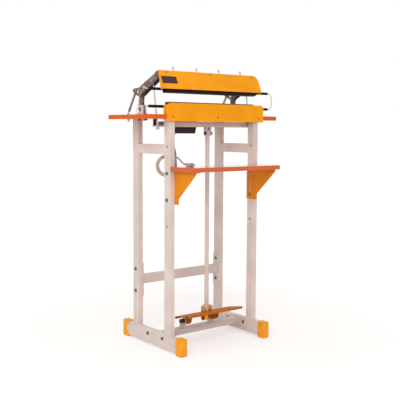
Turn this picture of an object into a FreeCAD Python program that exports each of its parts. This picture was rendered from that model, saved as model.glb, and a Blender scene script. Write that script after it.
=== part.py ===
import FreeCAD, Part
import math
import os

V = FreeCAD.Vector
X = V(1, 0, 0)
Y = V(0, 1, 0)
Z = V(0, 0, 1)

# Foot pedal sealer: a packing bench with a sealing jaw that a pedal pulls shut.
# Millimetres. X points to the right, Y to the rear, Z up. The origin is on the
# floor, midway between the four legs.

# Tube frame
frame_width = 476.0
leg_spacing = 231.0
tube_narrow = 25.0
tube_broad = 40.0
tube_wall = 1.5
tube_corner = 2.5
base_rail_height = 60.0
base_rail_lift = 8.0
base_rail_front_reach = 100.0
base_rail_rear_reach = 96.0
side_rail_z = 832.0
rear_bar_z = 265.0
plate = 3.0
rear_plate_height = 150.0
leg_hole_first_z = 520.0
leg_hole_pitch = 108.0
leg_hole_count = 4

# Foot caps
foot_wall = 3.0
foot_sleeve = 41.0
foot_notch = 17.0
foot_taper = 6.0

# Table and shelf boards with their edge bands
table_top_z = 972.0
table_width = 680.0
table_depth = 312.0
table_front = -145.0
board_thickness = 18.0
board_corner = 4.0
band = 1.2
shelf_top_z = 764.0
shelf_width = 474.0
shelf_depth = 143.0
bracket_sheet = 3.0
bracket_reach = 139.0
bracket_drop = 136.0
bracket_toe = 24.0
bracket_nose = 24.0
bracket_flange = 24.0
slot_width = 9.0

# Jaw hinge
pivot_y = 48.0
pivot_z = 1066.0
arm_x = 250.0
opening_angle = 14.0
pivot_pin_radius = 6.0
pin_fit = 0.1
gap = 0.3

# Posts and their feet
post_thick = 12.0
post_deep = 22.0
post_boss_radius = 15.0
post_neck = 35.2
foot_sheet = 3.0
foot_deep = 36.0
foot_height = 41.0
foot_y = 42.0
foot_flange = 50.0

# Arms
arm_width = 24.0
arm_sheet = 3.0
arm_hub_radius = 19.0
arm_front_radius = 14.5
arm_front_y = -92.0
arm_front_z = 1096.0
spring_eye_radius = 8.0
spring_eye_y = 87.0
spring_eye_z = 1084.0
rod_eye_y = -44.0
rod_eye_z = 1085.0

# Return springs and their eye bolts
anchor_behind_pivot = 101.0
anchor_above_table = 10.0
spring_hook = 9.0
spring_outer = 5.5
spring_wire = 1.6
anchor_ring = 4.5
anchor_wire = 2.8

# Sealing jaws, upper jaw given in the closed position
jaw_line_y = -100.0
jaw_length = 488.0
lower_jaw_inset = 20.0
lower_beam_width = 36.0
lower_beam_height = 50.0
lower_beam_wall = 4.0
element_width = 5.0
element_thick = 0.5
cloth = 0.8
cloth_drop = 22.0
upper_bar_width = 22.0
upper_bar_height = 18.0
upper_beam_deep = 30.0
upper_beam_tall = 30.0
bar_end_chamfer = 5.0
sleeve_radius = 5.6
upper_sleeve_down = 6.5
sleeve_reach = 76.0
sleeve_spigot = 20.0
sleeve_y = -104.0
terminal_deep = 10.0
lower_sleeve_z = 1004.0
lead_radius = 1.6

# Sheet covers
sheet = 1.5
sheet_bend = 3.0
lower_cover_width = 518.0
lower_cover_bottom = 945.0
lower_cover_top = 1018.0
lower_cover_return = 25.0
upper_cover_width = 528.0
upper_cover_bottom_y = -126.0
upper_cover_bottom_z = 1031.0
upper_cover_top_y = -110.0
upper_cover_return = 7.0
upper_corner_wide = 14.0
upper_corner_tall = 20.0
lower_corner_wide = 15.0
lower_corner_tall = 8.0
label_width = 74.0
label_height = 31.0
label_thick = 1.0
label_from_edge = 3.0
label_from_top = 28.0

# Wing screws of the upper jaw and bolts of the lower jaw
jaw_bolt_from_leg = 33.0
stud_radius = 3.0
stud_top_above_beam = 16.0
wing_span = 26.0
wing_height = 14.0
wing_thick = 3.0
wing_root = 2.0
wing_elbow = 7.8
wing_tip = 5.7
wing_lift = 5.6
wing_hub_radius = 6.6
wing_neck_radius = 4.8
wing_hub_height = 8.4

# Linkage under the table
yoke_y = -73.0
yoke_deep = 38.0
yoke_tall = 22.0
yoke_bottom = 923.0
lug_thick = 5.0
draw_rod_y = -65.0
draw_rod_radius = 3.0
rod_hole_radius = 5.0
rod_eye_outer = 7.0
rod_eye_thick = 10.0
rod_pin_radius = 4.0
knob_radius = 8.0
knob_height = 9.0
buffer_radius = 7.0
buffer_from_yoke = 7.0
lug_front_step = 6.0
lug_rear_step = 14.0
knob_play = 1.6
rod_slot_radius = 10.0
pull_rod_y = -78.0
pull_rod_size = 15.0
pull_pin_z = 897.0
pull_pin_radius = 4.0
pull_head_radius = 6.8
pull_head_thick = 3.0
pull_knob_radius = 7.6
pull_knob_length = 12.0
pull_knob_chamfer = 1.5
tab_thick = 3.0
tab_deep = 24.0
tab_corner = 3.0

# Pedal
pedal_bar_y = -30.0
pedal_bar_bottom = 36.0
pedal_plate_length = 146.0
bar_bolt_spacing = 106.0
pedal_axis_y = -47.0
pedal_axis_z = 95.0
pedal_half_width = 150.0
pedal_front_y = -145.0
pedal_rear_y = -52.0
pedal_rear_z = 122.0
pedal_tilt = 11.5
pedal_sheet = 3.0
pedal_lip = 10.0
pedal_lip_lean = 1.0
ear_left = -92.0
ear_right = 56.0
ear_radius = 17.0
pedal_pin_y = -78.0
pedal_pin_z = 140.0
pedal_pin_radius = 4.0
pedal_pin_washer = 3.0
pedal_pin_end = 1.0
pull_hole_radius = 6.6
clevis_gap = 17.5
clevis_low_z = 102.0
tread_clearance = 4.0
rib_from_axis = 40.0
ear_from_axis = 22.0
pedal_knob_radius = 10.0
pedal_knob_length = 20.0
pedal_knob_chamfer = 2.0

# Fasteners
bolt_radius = 4.0
bolt_head = 6.5
bolt_head_height = 5.0
hole_clearance = 0.3
screw_radius = 2.0
screw_head_radius = 4.5
screw_head_height = 2.4
wood_screw_length = 15.0
cover_screw_inset = 29.0
cover_screw_length = 8.0
cover_screw_down = 9.0

# Power box under the table
box_left = -133.0
box_right = -21.0
box_front = -40.0
box_depth = 88.0
box_height = 58.0
box_slope = 14.0
box_lid = 2.0
box_flange = 8.0
box_corner = 3.5
gland_radius = 7.0
gland_length = 16.0
gland_nut = 6.0
gland_from_end = 13.0

# Mains cord: a lead of 2 m, most of it in a loose coil hung behind the left front leg
cord_radius = 3.75
cord_route = [(-120.0, 4.0, 874.0), (-120.0, 4.0, 856.0), (-122.0, -5.0, 838.0), (-128.0, -20.0, 824.0),
              (-137.0, -36.0, 813.0), (-147.0, -50.0, 803.0), (-155.5, -60.0, 791.0), (-160.5, -66.0, 777.0)]
tail_route = [(-198.8, -56.0, 796.0), (-188.0, -64.5, 799.0), (-177.0, -76.0, 801.0), (-170.0, -90.0, 798.5),
              (-167.5, -104.0, 791.0), (-167.5, -118.0, 782.0), (-168.0, -132.0, 774.5), (-168.0, -144.0, 771.8),
              (-168.0, -154.0, 771.8)]
coil_centre = (-194.0, -50.0, 763.0)
coil_turn = -38.5
coil_half_width = 46.0
coil_half_height = 47.0
coil_band = 27.0
coil_thick = 24.0
coil_edge = 5.0
plug_length = 34.0
plug_width = 26.0
plug_thick = 15.0
prong_radius = 2.2
prong_length = 18.0
prong_spacing = 14.0

# Leads of the heating elements, each route counted along X from the end of its sleeve
hose_radius = 2.5
lead_hole_radius = 4.5
jumper_route = [(0.0, -102.8, 1073.1), (9.4, -102.8, 1073.1), (16.8, -102.8, 1070.0), (22.4, -102.9, 1064.4),
                (25.5, -103.1, 1057.0), (26.8, -103.4, 1044.0), (26.8, -103.7, 1033.0), (25.5, -103.9, 1020.1),
                (22.4, -104.0, 1012.7), (16.8, -104.0, 1007.0), (9.4, -104.0, 1004.0), (0.0, -104.0, 1004.0)]
upper_lead_route = [(0.0, -102.8, 1073.1), (-7.0, -102.8, 1073.1), (-13.0, -99.0, 1074.5), (-14.0, -88.0, 1077.5),
                    (-5.0, -72.0, 1081.0), (16.0, -54.0, 1084.5), (38.0, -34.0, 1086.0), (48.0, -10.0, 1081.0),
                    (50.0, 14.0, 1071.0), (50.0, 30.0, 1057.0), (49.0, 36.0, 1038.0), (44.0, 36.0, 1018.0),
                    (36.0, 34.0, 1000.0), (32.0, 32.0, 984.0), (32.0, 32.0, 963.0)]
lower_lead_route = [(0.0, -104.0, 1004.0), (-5.0, -104.0, 1004.0), (-9.0, -104.2, 1001.5), (-10.6, -104.6, 996.5),
                    (-10.0, -105.2, 987.0), (-7.8, -105.8, 975.0), (-7.0, -106.0, 963.0)]

# Values that follow from the sizes above
leg_x = frame_width / 2 - tube_narrow / 2
leg_inner = frame_width / 2 - tube_narrow
front_leg_y = -leg_spacing / 2
rear_leg_y = leg_spacing / 2
base_rail_top = base_rail_lift + base_rail_height
table_bottom = table_top_z - board_thickness
through_table = 3 * board_thickness
shelf_bottom = shelf_top_z - board_thickness
bench_front_y = front_leg_y - tube_broad / 2
lower_beam_top = table_top_z + lower_beam_height
lower_jaw_length = jaw_length - 2 * lower_jaw_inset
sleeve_end = jaw_length / 2 + sleeve_reach
jaw_bolt_outer = leg_inner - jaw_bolt_from_leg
jaw_bolt_inner = jaw_bolt_outer / 3
cover_screw_spacing = lower_cover_width / 2 - cover_screw_inset
seal_z = lower_beam_top + element_thick + cloth
upper_bar_bottom = seal_z + gap + cloth + element_thick
upper_beam_top = arm_front_z + upper_beam_tall / 2
pivot = V(0, pivot_y, pivot_z)


# Building blocks

def block(xs, ys, zs):
    corner = V(min(xs), min(ys), min(zs))
    return Part.makeBox(abs(xs[1] - xs[0]), abs(ys[1] - ys[0]), abs(zs[1] - zs[0]), corner)


def disc(centre, axis, radius, length):
    """A cylinder whose middle is at centre."""
    start = centre - axis * (length / 2)
    return Part.makeCylinder(radius, length, start, axis)


def hexagon(centre, axis, radius, length):
    """A hexagonal prism whose middle is at centre."""
    start = centre - axis * (length / 2)
    side = Z if abs(axis.z) < 0.5 else X
    other = axis.cross(side)
    points = []
    for k in range(6):
        angle = math.radians(60 * k + 30)
        points.append(start + side * (radius * math.cos(angle)) + other * (radius * math.sin(angle)))
    face = Part.Face(Part.makePolygon(points + points[:1]))
    return face.extrude(axis * length)


def round_along(shape, axis, radius):
    """Rounds every straight edge that runs along axis."""
    edges = []
    for edge in shape.Edges:
        if isinstance(edge.Curve, Part.Line):
            if abs(abs(edge.Curve.Direction.dot(axis)) - 1) < 1e-6:
                edges.append(edge)
    return shape.makeFillet(radius, edges)


def tube(xs, ys, zs, axis):
    """A rectangular tube along axis, open at both ends."""
    outer = round_along(block(xs, ys, zs), axis, tube_corner)
    inset = [tube_wall if abs(axis.dot(a)) < 0.5 else -1.0 for a in (X, Y, Z)]
    spans = []
    for span, cut in zip((xs, ys, zs), inset):
        spans.append((min(span) + cut, max(span) - cut))
    return outer.cut(block(*spans))


def outline_yz(points, x_from, x_to):
    """Extrudes an outline of (y, z) points along X."""
    corners = [V(x_from, y, z) for y, z in points]
    face = Part.Face(Part.makePolygon(corners + corners[:1]))
    return face.extrude(V(x_to - x_from, 0, 0))


def link_yz(y1, z1, r1, y2, z2, r2, x_from, x_to):
    """A flat link: two round ends joined by their outer tangents."""
    a = V(x_from, y1, z1)
    b = V(x_from, y2, z2)
    along = (b - a).normalize()
    across = X.cross(along)
    tilt = (r1 - r2) / (b - a).Length
    up = along * tilt + across * math.sqrt(1 - tilt * tilt)
    down = along * tilt - across * math.sqrt(1 - tilt * tilt)
    arc_b = Part.Arc(b + up * r2, b + along * r2, b + down * r2)
    arc_a = Part.Arc(a + down * r1, a - along * r1, a + up * r1)
    sides = [Part.LineSegment(a + up * r1, b + up * r2), Part.LineSegment(b + down * r2, a + down * r1)]
    wire = Part.Wire([sides[0].toShape(), arc_b.toShape(), sides[1].toShape(), arc_a.toShape()])
    return Part.Face(wire).extrude(V(x_to - x_from, 0, 0))


def mirrored(shape):
    return shape.mirror(V(0, 0, 0), X)


def to_rest(shape):
    """Turns a piece of the upper jaw from closed to the open position of rest."""
    turned = shape.copy()
    turned.rotate(pivot, X, -opening_angle)
    return turned


def point_to_rest(y, z):
    """The rest place of a point that is given with the jaw closed."""
    angle = math.radians(-opening_angle)
    dy = y - pivot_y
    dz = z - pivot_z
    return (pivot_y + dy * math.cos(angle) - dz * math.sin(angle),
            pivot_z + dy * math.sin(angle) + dz * math.cos(angle))


def bolt(centre, axis, grip, radius=bolt_radius):
    """A hexagon bolt with its nut, gripping a stack of the length grip about centre."""
    shank = disc(centre, axis, radius, grip + 2 * bolt_head_height)
    head_radius = bolt_head * radius / bolt_radius
    offset = axis * ((grip + bolt_head_height) / 2)
    head = hexagon(centre - offset, axis, head_radius, bolt_head_height)
    nut = hexagon(centre + offset, axis, head_radius, bolt_head_height)
    return shank.fuse([head, nut]).removeSplitter()


def pan_screw(seat, way_in, length):
    """A pan head screw; seat is the middle of the face that its head presses on."""
    shank = Part.makeCylinder(screw_radius, length, seat, way_in)
    head = Part.makeCone(screw_head_radius, screw_head_radius * 0.6, screw_head_height, seat, -way_in)
    return shank.fuse(head).removeSplitter()


def wire_ring(centre, axis, radius, wire):
    """A closed eye of bent wire."""
    outer = disc(centre, axis, radius + wire / 2, wire)
    return outer.cut(disc(centre, axis, radius - wire / 2, wire * 2))


def drill(shape, centre, axis, radius, length):
    return shape.cut(disc(centre, axis, radius, length))


nodes = {}


def keep(name, *pieces):
    nodes[name] = pieces


# Frame tubes

def base_rail():
    ys = (front_leg_y - base_rail_front_reach, rear_leg_y + base_rail_rear_reach)
    rail = tube((leg_inner, frame_width / 2), ys, (base_rail_lift, base_rail_top), Y)
    for y in bar_bolt_places():
        rail = drill(rail, V(leg_x, y, pedal_bar_z()), X, bolt_radius + hole_clearance, tube_narrow * 2)
    return rail


def bar_bolt_places():
    return (pedal_bar_y - bar_bolt_spacing / 2, pedal_bar_y + bar_bolt_spacing / 2)


def pedal_bar_z():
    return pedal_bar_bottom + tube_narrow / 2


def leg_hole_places():
    return [leg_hole_first_z + leg_hole_pitch * k for k in range(leg_hole_count)]


def rear_bolt_places():
    offset = (tube_broad + rear_plate_height) / 4
    return (rear_bar_z - offset, rear_bar_z + offset)


def leg(y, holes):
    ys = (y - tube_broad / 2, y + tube_broad / 2)
    body = tube((leg_inner, frame_width / 2), ys, (base_rail_top, table_bottom - plate), Z)
    for z in holes:
        body = drill(body, V(leg_x, y, z), X, bolt_radius + hole_clearance, tube_narrow * 2)
    head = block((leg_inner - tube_narrow, frame_width / 2), ys, (table_bottom - plate, table_bottom))
    head = round_along(head, Z, tube_corner)
    for x, screw_y in head_screw_places():
        head = drill(head, V(x, screw_y, table_bottom), Z, screw_radius, 4 * plate)
    return body.fuse(head).removeSplitter()


def side_rail():
    ys = (front_leg_y + tube_broad / 2, rear_leg_y - tube_broad / 2)
    zs = (side_rail_z - tube_broad / 2, side_rail_z + tube_broad / 2)
    return tube((leg_inner, frame_width / 2), ys, zs, Y)


def rear_crossbar():
    reach = leg_inner - plate
    ys = (rear_leg_y - tube_narrow / 2, rear_leg_y + tube_narrow / 2)
    bar = tube((-reach, reach), ys, (rear_bar_z - tube_broad / 2, rear_bar_z + tube_broad / 2), X)
    zs = (rear_bar_z - rear_plate_height / 2, rear_bar_z + rear_plate_height / 2)
    for side in (-1, 1):
        end_ys = (rear_leg_y - tube_broad / 2, rear_leg_y + tube_broad / 2)
        end = block((side * reach, side * leg_inner), end_ys, zs)
        end = round_along(end, X, tube_corner * 2)
        for z in rear_bolt_places():
            end = drill(end, V(side * leg_inner, rear_leg_y, z), X, bolt_radius + hole_clearance, plate * 4)
        bar = bar.fuse(end)
    return bar.removeSplitter()


def pedal_crossbar():
    reach = leg_inner - plate
    ys = (pedal_bar_y - tube_broad / 2, pedal_bar_y + tube_broad / 2)
    top = pedal_bar_bottom + tube_narrow
    bar = tube((-reach, reach), ys, (pedal_bar_bottom, top), X)
    plate_ys = (pedal_bar_y - pedal_plate_length / 2, pedal_bar_y + pedal_plate_length / 2)
    plate_zs = (pedal_bar_z() - tube_broad / 2, pedal_bar_z() + tube_broad / 2 - plate)
    for side in (-1, 1):
        end = block((side * reach, side * leg_inner), plate_ys, plate_zs)
        end = round_along(end, X, tube_corner * 3)
        for y in bar_bolt_places():
            end = drill(end, V(side * leg_inner, y, pedal_bar_z()), X, bolt_radius + hole_clearance, plate * 4)
        bar = bar.fuse([end, pedal_lug(side, top)])
    return bar.removeSplitter()


def ear_place(side):
    return ear_right if side > 0 else ear_left


def lug_span(side):
    inner = ear_place(side) + side * (pedal_sheet / 2 + gap)
    return (inner, inner + side * lug_thick)


def pedal_lug(side, top):
    """An upright lug on the crossbar that carries one end of the pedal."""
    span = lug_span(side)
    foot_y_from = pedal_bar_y - tube_broad / 2
    low, high = sorted(span)
    upright = link_yz(pedal_axis_y, pedal_axis_z, ear_radius * 0.8, pedal_bar_y, top, ear_radius, low, high)
    below = block(span, (foot_y_from - 2 * ear_radius, pedal_bar_y + tube_broad), (0, top))
    lug = upright.cut(below)
    return drill(lug, V(ear_place(side), pedal_axis_y, pedal_axis_z), X, bolt_radius + pin_fit, 4 * ear_radius)


def foot_cap(front):
    """A plastic cap that closes the end of a base rail and stands on the floor."""
    sign = -1 if front else 1
    end = front_leg_y - base_rail_front_reach if front else rear_leg_y + base_rail_rear_reach
    outer_end = end + sign * foot_wall
    inner_end = end - sign * (foot_sleeve - foot_wall)
    top = base_rail_top + foot_wall
    points = [(outer_end - sign * foot_taper, 0), (outer_end, foot_taper), (outer_end, top),
              (inner_end, top), (inner_end, foot_taper), (inner_end + sign * foot_taper, 0)]
    cap = outline_yz(points, leg_inner - foot_wall, frame_width / 2 + foot_wall)
    cap = round_along(cap, Z, foot_wall * 0.8)
    if not front:
        notch = V(frame_width / 2, inner_end, (base_rail_lift + base_rail_top) / 2)
        cap = drill(cap, notch, X, foot_notch, 4 * tube_broad)
    ys = (front_leg_y - base_rail_front_reach, rear_leg_y + base_rail_rear_reach)
    rail = round_along(block((leg_inner, frame_width / 2), ys, (base_rail_lift, base_rail_top)), Y, tube_corner)
    return cap.cut(rail)


# Boards

def board(width, ys, top):
    """A board and the band round its edges."""
    zs = (top - board_thickness, top)
    outer = round_along(block((-width / 2, width / 2), ys, zs), Z, board_corner)
    inner = block((-width / 2 + band, width / 2 - band), (ys[0] + band, ys[1] - band), zs)
    inner = round_along(inner, Z, board_corner - band)
    return inner, outer.cut(inner)


def table():
    core, edge = board(table_width, (table_front, table_front + table_depth), table_top_z)
    for side in (-1, 1):
        slot_y = draw_rod_y_at(table_top_z - board_thickness / 2)
        core = drill(core, V(side * arm_x, slot_y, table_top_z), Z, rod_slot_radius, through_table)
        anchor = V(side * arm_x, anchor_y(), table_top_z)
        core = drill(core, anchor, Z, stud_radius + hole_clearance, through_table)
        for y in foot_bolt_places():
            core = drill(core, V(side * arm_x, y, table_top_z), Z, bolt_radius + hole_clearance, through_table)
    for x in jaw_bolt_places():
        core = drill(core, V(x, jaw_line_y, table_top_z), Z, bolt_radius + hole_clearance, through_table)
    for route in (upper_lead_route, lower_lead_route):
        x, y, z = from_sleeve(route, -1)[-1]
        core = drill(core, V(x, y, table_top_z), Z, lead_hole_radius, through_table)
    for side in (-1, 1):
        for x, y in head_screw_places():
            seat = V(side * x, y, table_bottom)
            core = core.cut(Part.makeCylinder(screw_radius, wood_screw_length - plate, seat, Z))
    for x in cover_screw_places():
        start = V(x, table_front - sheet, edge_screw_z())
        hole = Part.makeCylinder(screw_radius, cover_screw_length * 2, start, Y)
        core = core.cut(hole)
        edge = edge.cut(hole)
    return core, edge


def edge_screw_z():
    return table_top_z - board_thickness / 2


def head_screw_places():
    """Where wood screws go up through the heads of the legs, on the right side."""
    x = leg_inner - tube_narrow / 2
    step = tube_narrow / 2
    return [(x, leg_y + sign * step) for leg_y in (front_leg_y, rear_leg_y) for sign in (-1, 1)]


def shelf_screw_places():
    """Where wood screws go up through a bracket's flange, on the right side."""
    x = leg_inner - bracket_flange / 2
    return [(x, bench_front_y - bracket_reach * share) for share in (0.25, 0.75)]


def cover_screw_places():
    return (-cover_screw_spacing, 0.0, cover_screw_spacing)


def foot_bolt_places():
    return (foot_y - foot_flange / 2, foot_y + foot_flange / 2)


def jaw_bolt_places():
    return (-jaw_bolt_outer, -jaw_bolt_inner, jaw_bolt_inner, jaw_bolt_outer)


def foot_bolt_middle():
    return table_top_z + (foot_sheet - board_thickness) / 2


def anchor_y():
    return pivot_y + anchor_behind_pivot


def draw_rod_y_at(z):
    """Where the middle of a draw rod crosses a height, at rest."""
    eye_y, eye_z = point_to_rest(rod_eye_y, rod_eye_z)
    return eye_y + (draw_rod_y - eye_y) * (eye_z - z) / (eye_z - yoke_bottom)


def shelf():
    core, edge = board(shelf_width, (bench_front_y - gap - shelf_depth, bench_front_y - gap), shelf_top_z)
    for side in (-1, 1):
        for x, y in shelf_screw_places():
            depth = wood_screw_length - bracket_sheet
            core = core.cut(Part.makeCylinder(screw_radius, depth, V(side * x, y, shelf_bottom), Z))
    return core, edge


def shelf_bracket():
    """A folded gusset on the inner face of a front leg, with a flange under the shelf."""
    rear = front_leg_y + tube_broad / 2
    tip = bench_front_y - bracket_reach
    low = shelf_bottom - bracket_drop
    points = [(rear, shelf_bottom), (tip, shelf_bottom), (tip, shelf_bottom - bracket_flange / 3),
              (bench_front_y - bracket_nose, low + bracket_toe), (bench_front_y - bracket_nose, low), (rear, low)]
    face = outline_yz(points, leg_inner - bracket_sheet, leg_inner)
    face = round_along(face, X, bracket_sheet)
    low_bolt, high_bolt = leg_hole_places()[1:3]
    slot_zs = (low_bolt, high_bolt)
    slot = block((0, frame_width), (front_leg_y - slot_width / 2, front_leg_y + slot_width / 2), slot_zs)
    for z in slot_zs:
        slot = slot.fuse(disc(V(leg_inner, front_leg_y, z), X, slot_width / 2, frame_width / 2))
    face = face.cut(slot)
    flange_zs = (shelf_bottom - bracket_sheet, shelf_bottom)
    flange = block((leg_inner - bracket_flange, leg_inner), (tip, bench_front_y), flange_zs)
    flange = round_along(flange, Z, bracket_sheet)
    for x, y in shelf_screw_places():
        flange = drill(flange, V(x, y, shelf_bottom), Z, screw_radius, 4 * bracket_sheet)
    return face.fuse(flange).removeSplitter()


# Posts, arms and hinge

def post():
    """A cast post: a flat stem with a thicker round boss for the hinge pin."""
    stem_bottom = table_top_z + foot_sheet + gap
    half = post_thick / 2
    xs = (arm_x - half, arm_x + half)
    stem = block(xs, (pivot_y - post_deep / 2, pivot_y + post_deep / 2), (stem_bottom, pivot_z))
    neck = link_yz(pivot_y, pivot_z, post_boss_radius, pivot_y, pivot_z - post_neck, post_deep / 2, *xs)
    boss_half = arm_width / 2 - arm_sheet - gap
    boss = disc(V(arm_x, pivot_y, pivot_z), X, post_boss_radius, boss_half * 2)
    body = stem.fuse([neck, boss])
    body = drill(body, V(arm_x, pivot_y, pivot_z), X, pivot_pin_radius, arm_width * 2)
    body = drill(body, V(arm_x, pivot_y, foot_bolt_z()), X, bolt_radius + hole_clearance, arm_width * 2)
    return body.removeSplitter()


def foot_bolt_z():
    return table_top_z + foot_height * 0.6


def post_foot():
    """A folded foot that holds the post between two cheeks and is bolted to the table."""
    half = post_thick / 2
    ys = (foot_y - foot_deep / 2, foot_y + foot_deep / 2)
    flange_ys = (foot_y - foot_flange / 2 - bolt_head * 1.3, foot_y + foot_flange / 2 + bolt_head * 1.3)
    base_xs = (arm_x - half - foot_sheet, arm_x + half + foot_sheet)
    base = block(base_xs, flange_ys, (table_top_z, table_top_z + foot_sheet))
    base = round_along(base, Z, foot_sheet * 1.5)
    for y in foot_bolt_places():
        base = drill(base, V(arm_x, y, table_top_z), Z, bolt_radius + hole_clearance, foot_height)
    foot = base
    for side in (-1, 1):
        xs = (arm_x + side * half, arm_x + side * (half + foot_sheet))
        cheek = block(xs, ys, (table_top_z, table_top_z + foot_height))
        cheek = round_along(cheek, X, foot_sheet * 1.5)
        cheek = cheek.fuse(block(xs, ys, (table_top_z, table_top_z + foot_height / 2)))
        foot = foot.fuse(cheek)
    foot = drill(foot, V(arm_x, pivot_y, foot_bolt_z()), X, bolt_radius + hole_clearance, arm_width * 2)
    return foot.removeSplitter()


def arm():
    """A bell crank pressed as a channel, open below, from the jaw to the spring eye."""
    def crank(x_from, x_to, drop):
        front = link_yz(pivot_y, pivot_z - drop, arm_hub_radius, arm_front_y, arm_front_z - drop,
                        arm_front_radius, x_from, x_to)
        back = link_yz(pivot_y, pivot_z - drop, arm_hub_radius, spring_eye_y, spring_eye_z - drop,
                       spring_eye_radius, x_from, x_to)
        return front.fuse(back).removeSplitter()

    half = arm_width / 2
    body = crank(arm_x - half, arm_x + half, 0)
    hollow = crank(arm_x - half + arm_sheet, arm_x + half - arm_sheet, arm_sheet)
    below = crank(arm_x - half + arm_sheet, arm_x + half - arm_sheet, arm_hub_radius)
    inside_limit = block((0, 2 * arm_x), (arm_front_y, pivot_y * 3), (0, 2 * pivot_z))
    body = body.cut(hollow.fuse(below).common(inside_limit))
    body = drill(body, V(arm_x, pivot_y, pivot_z), X, pivot_pin_radius + pin_fit, arm_width * 2)
    body = drill(body, V(arm_x, rod_eye_y, rod_eye_z), X, rod_pin_radius, arm_width * 2)
    body = drill(body, V(arm_x, spring_eye_y, spring_eye_z), X, stud_radius, arm_width * 2)
    top, bottom = spring_ends()
    relief = Part.makeCylinder(spring_outer + 1, 2 * arm_hub_radius, top, bottom - top)
    return to_rest(body).cut(relief)


def arm_pin(y, z, radius):
    """A cross pin riveted through both cheeks of an arm."""
    return to_rest(disc(V(arm_x, y, z), X, radius, arm_width + 2 * gap))


def hinge_pin():
    """The hinge pin with a head outside each cheek of the arm."""
    pin = disc(V(arm_x, pivot_y, pivot_z), X, pivot_pin_radius, arm_width + 2 * gap)
    for side in (-1, 1):
        centre = V(arm_x + side * (arm_width / 2 + gap + bolt_head_height / 2), pivot_y, pivot_z)
        pin = pin.fuse(hexagon(centre, X, pivot_pin_radius * 1.6, bolt_head_height))
    return pin


# Lower jaw

def lower_beam():
    half = lower_beam_width / 2
    xs = (-lower_jaw_length / 2, lower_jaw_length / 2)
    body = block(xs, (jaw_line_y - half, jaw_line_y + half), (table_top_z, lower_beam_top))
    inside = half - lower_beam_wall
    core = block((xs[0] - 1, xs[1] + 1), (jaw_line_y - inside, jaw_line_y + inside),
                 (table_top_z + lower_beam_wall, lower_beam_top - lower_beam_wall))
    body = body.cut(core)
    for x in jaw_bolt_places():
        body = drill(body, V(x, jaw_line_y, table_top_z), Z, bolt_radius + hole_clearance, lower_beam_wall * 3)
    return body


def terminal():
    """A moulded end block in the beam's end, with the sleeve that leads the wire out."""
    half = lower_beam_width / 2 - lower_beam_wall
    end = lower_jaw_length / 2
    plug_body = block((end - terminal_deep, end), (jaw_line_y - half, jaw_line_y + half),
                      (table_top_z + lower_beam_wall, lower_beam_top - lower_beam_wall))
    sleeve = Part.makeCylinder(sleeve_radius, sleeve_end - end, V(end, sleeve_y, lower_sleeve_z), X)
    return plug_body.fuse(sleeve).removeSplitter()


def element(y, z, length):
    half = element_width / 2
    reach = length / 2 - upper_bar_height / 3
    return block((-reach, reach), (y - half, y + half), (z, z + element_thick))


def cloth_cover(length, width, bottom, top, opens_down):
    """A band of heat proof cloth folded over the working face of a jaw."""
    half = width / 2
    xs = (-length / 2 + cloth, length / 2 - cloth)
    outer = block(xs, (jaw_line_y - half - cloth, jaw_line_y + half + cloth), (bottom, top))
    shift = -cloth if opens_down else cloth
    inner = block((xs[0] - 1, xs[1] + 1), (jaw_line_y - half, jaw_line_y + half), (bottom + shift, top + shift))
    return outer.cut(inner)


def lower_cover():
    """A folded sheet cover in front of the lower jaw, lapped over the table's edge."""
    front = table_front - sheet
    rear = jaw_line_y - lower_beam_width / 2 - cloth - gap
    side_rear = front + lower_cover_return

    def body(inset):
        half = lower_cover_width / 2 - inset
        low = lower_cover_bottom - (1 if inset else 0)
        high = lower_cover_top - inset
        points = [(front + inset, low), (front + inset, high), (rear + inset, high), (rear + inset, low)]
        return outline_yz(points, -half, half)

    outer = body(0)
    bends = [e for e in outer.Edges if front_bend(e, front)]
    outer = outer.makeFillet(sheet_bend, bends)
    shell = outer.cut(body(sheet))
    reach = lower_cover_width / 2
    side_top = side_rear - lower_cover_return / 4
    over = lower_cover_top + 1
    under = lower_cover_bottom - 1
    behind_side = [(side_top, over), (rear + 1, over), (rear + 1, under), (side_rear, under),
                   (side_rear, lower_cover_top - lower_cover_return * 0.7)]
    for side in (-1, 1):
        trim = outline_yz(behind_side, side * (reach - 2 * sheet), side * (reach + 1))
        shell = shell.cut(trim)
    for x in cover_screw_places():
        shell = drill(shell, V(x, front, edge_screw_z()), Y, screw_radius, 4 * sheet)
    for side in (-1, 1):
        shell = shell.cut(corner_off(side, reach, lower_cover_top, lower_corner_wide, lower_corner_tall))
    over_table = block((-reach - 1, reach + 1), (table_front, rear + sheet * 2), (under, table_top_z))
    return shell.cut(over_table)


def corner_off(side, reach, top, wide, tall):
    """A prism along Y that takes the upper corner off a cover's end."""
    inner = side * (reach - wide)
    edge = side * reach
    outer = side * (reach + 1)
    corners = [(inner, top), (edge, top - tall), (outer, top - tall), (outer, top + 1), (inner, top + 1)]
    points = [V(x, -frame_width, z) for x, z in corners]
    return Part.Face(Part.makePolygon(points + points[:1])).extrude(Y * frame_width)


def front_bend(edge, front):
    """True for the upright and top edges of a cover's front face."""
    if not isinstance(edge.Curve, Part.Line):
        return False
    at_front = all(abs(v.Point.y - front) < 0.01 for v in edge.Vertexes)
    is_bottom = all(abs(v.Point.z - lower_cover_bottom) < 0.01 for v in edge.Vertexes)
    return at_front and not is_bottom


# Upper jaw, modelled closed and turned open

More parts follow.
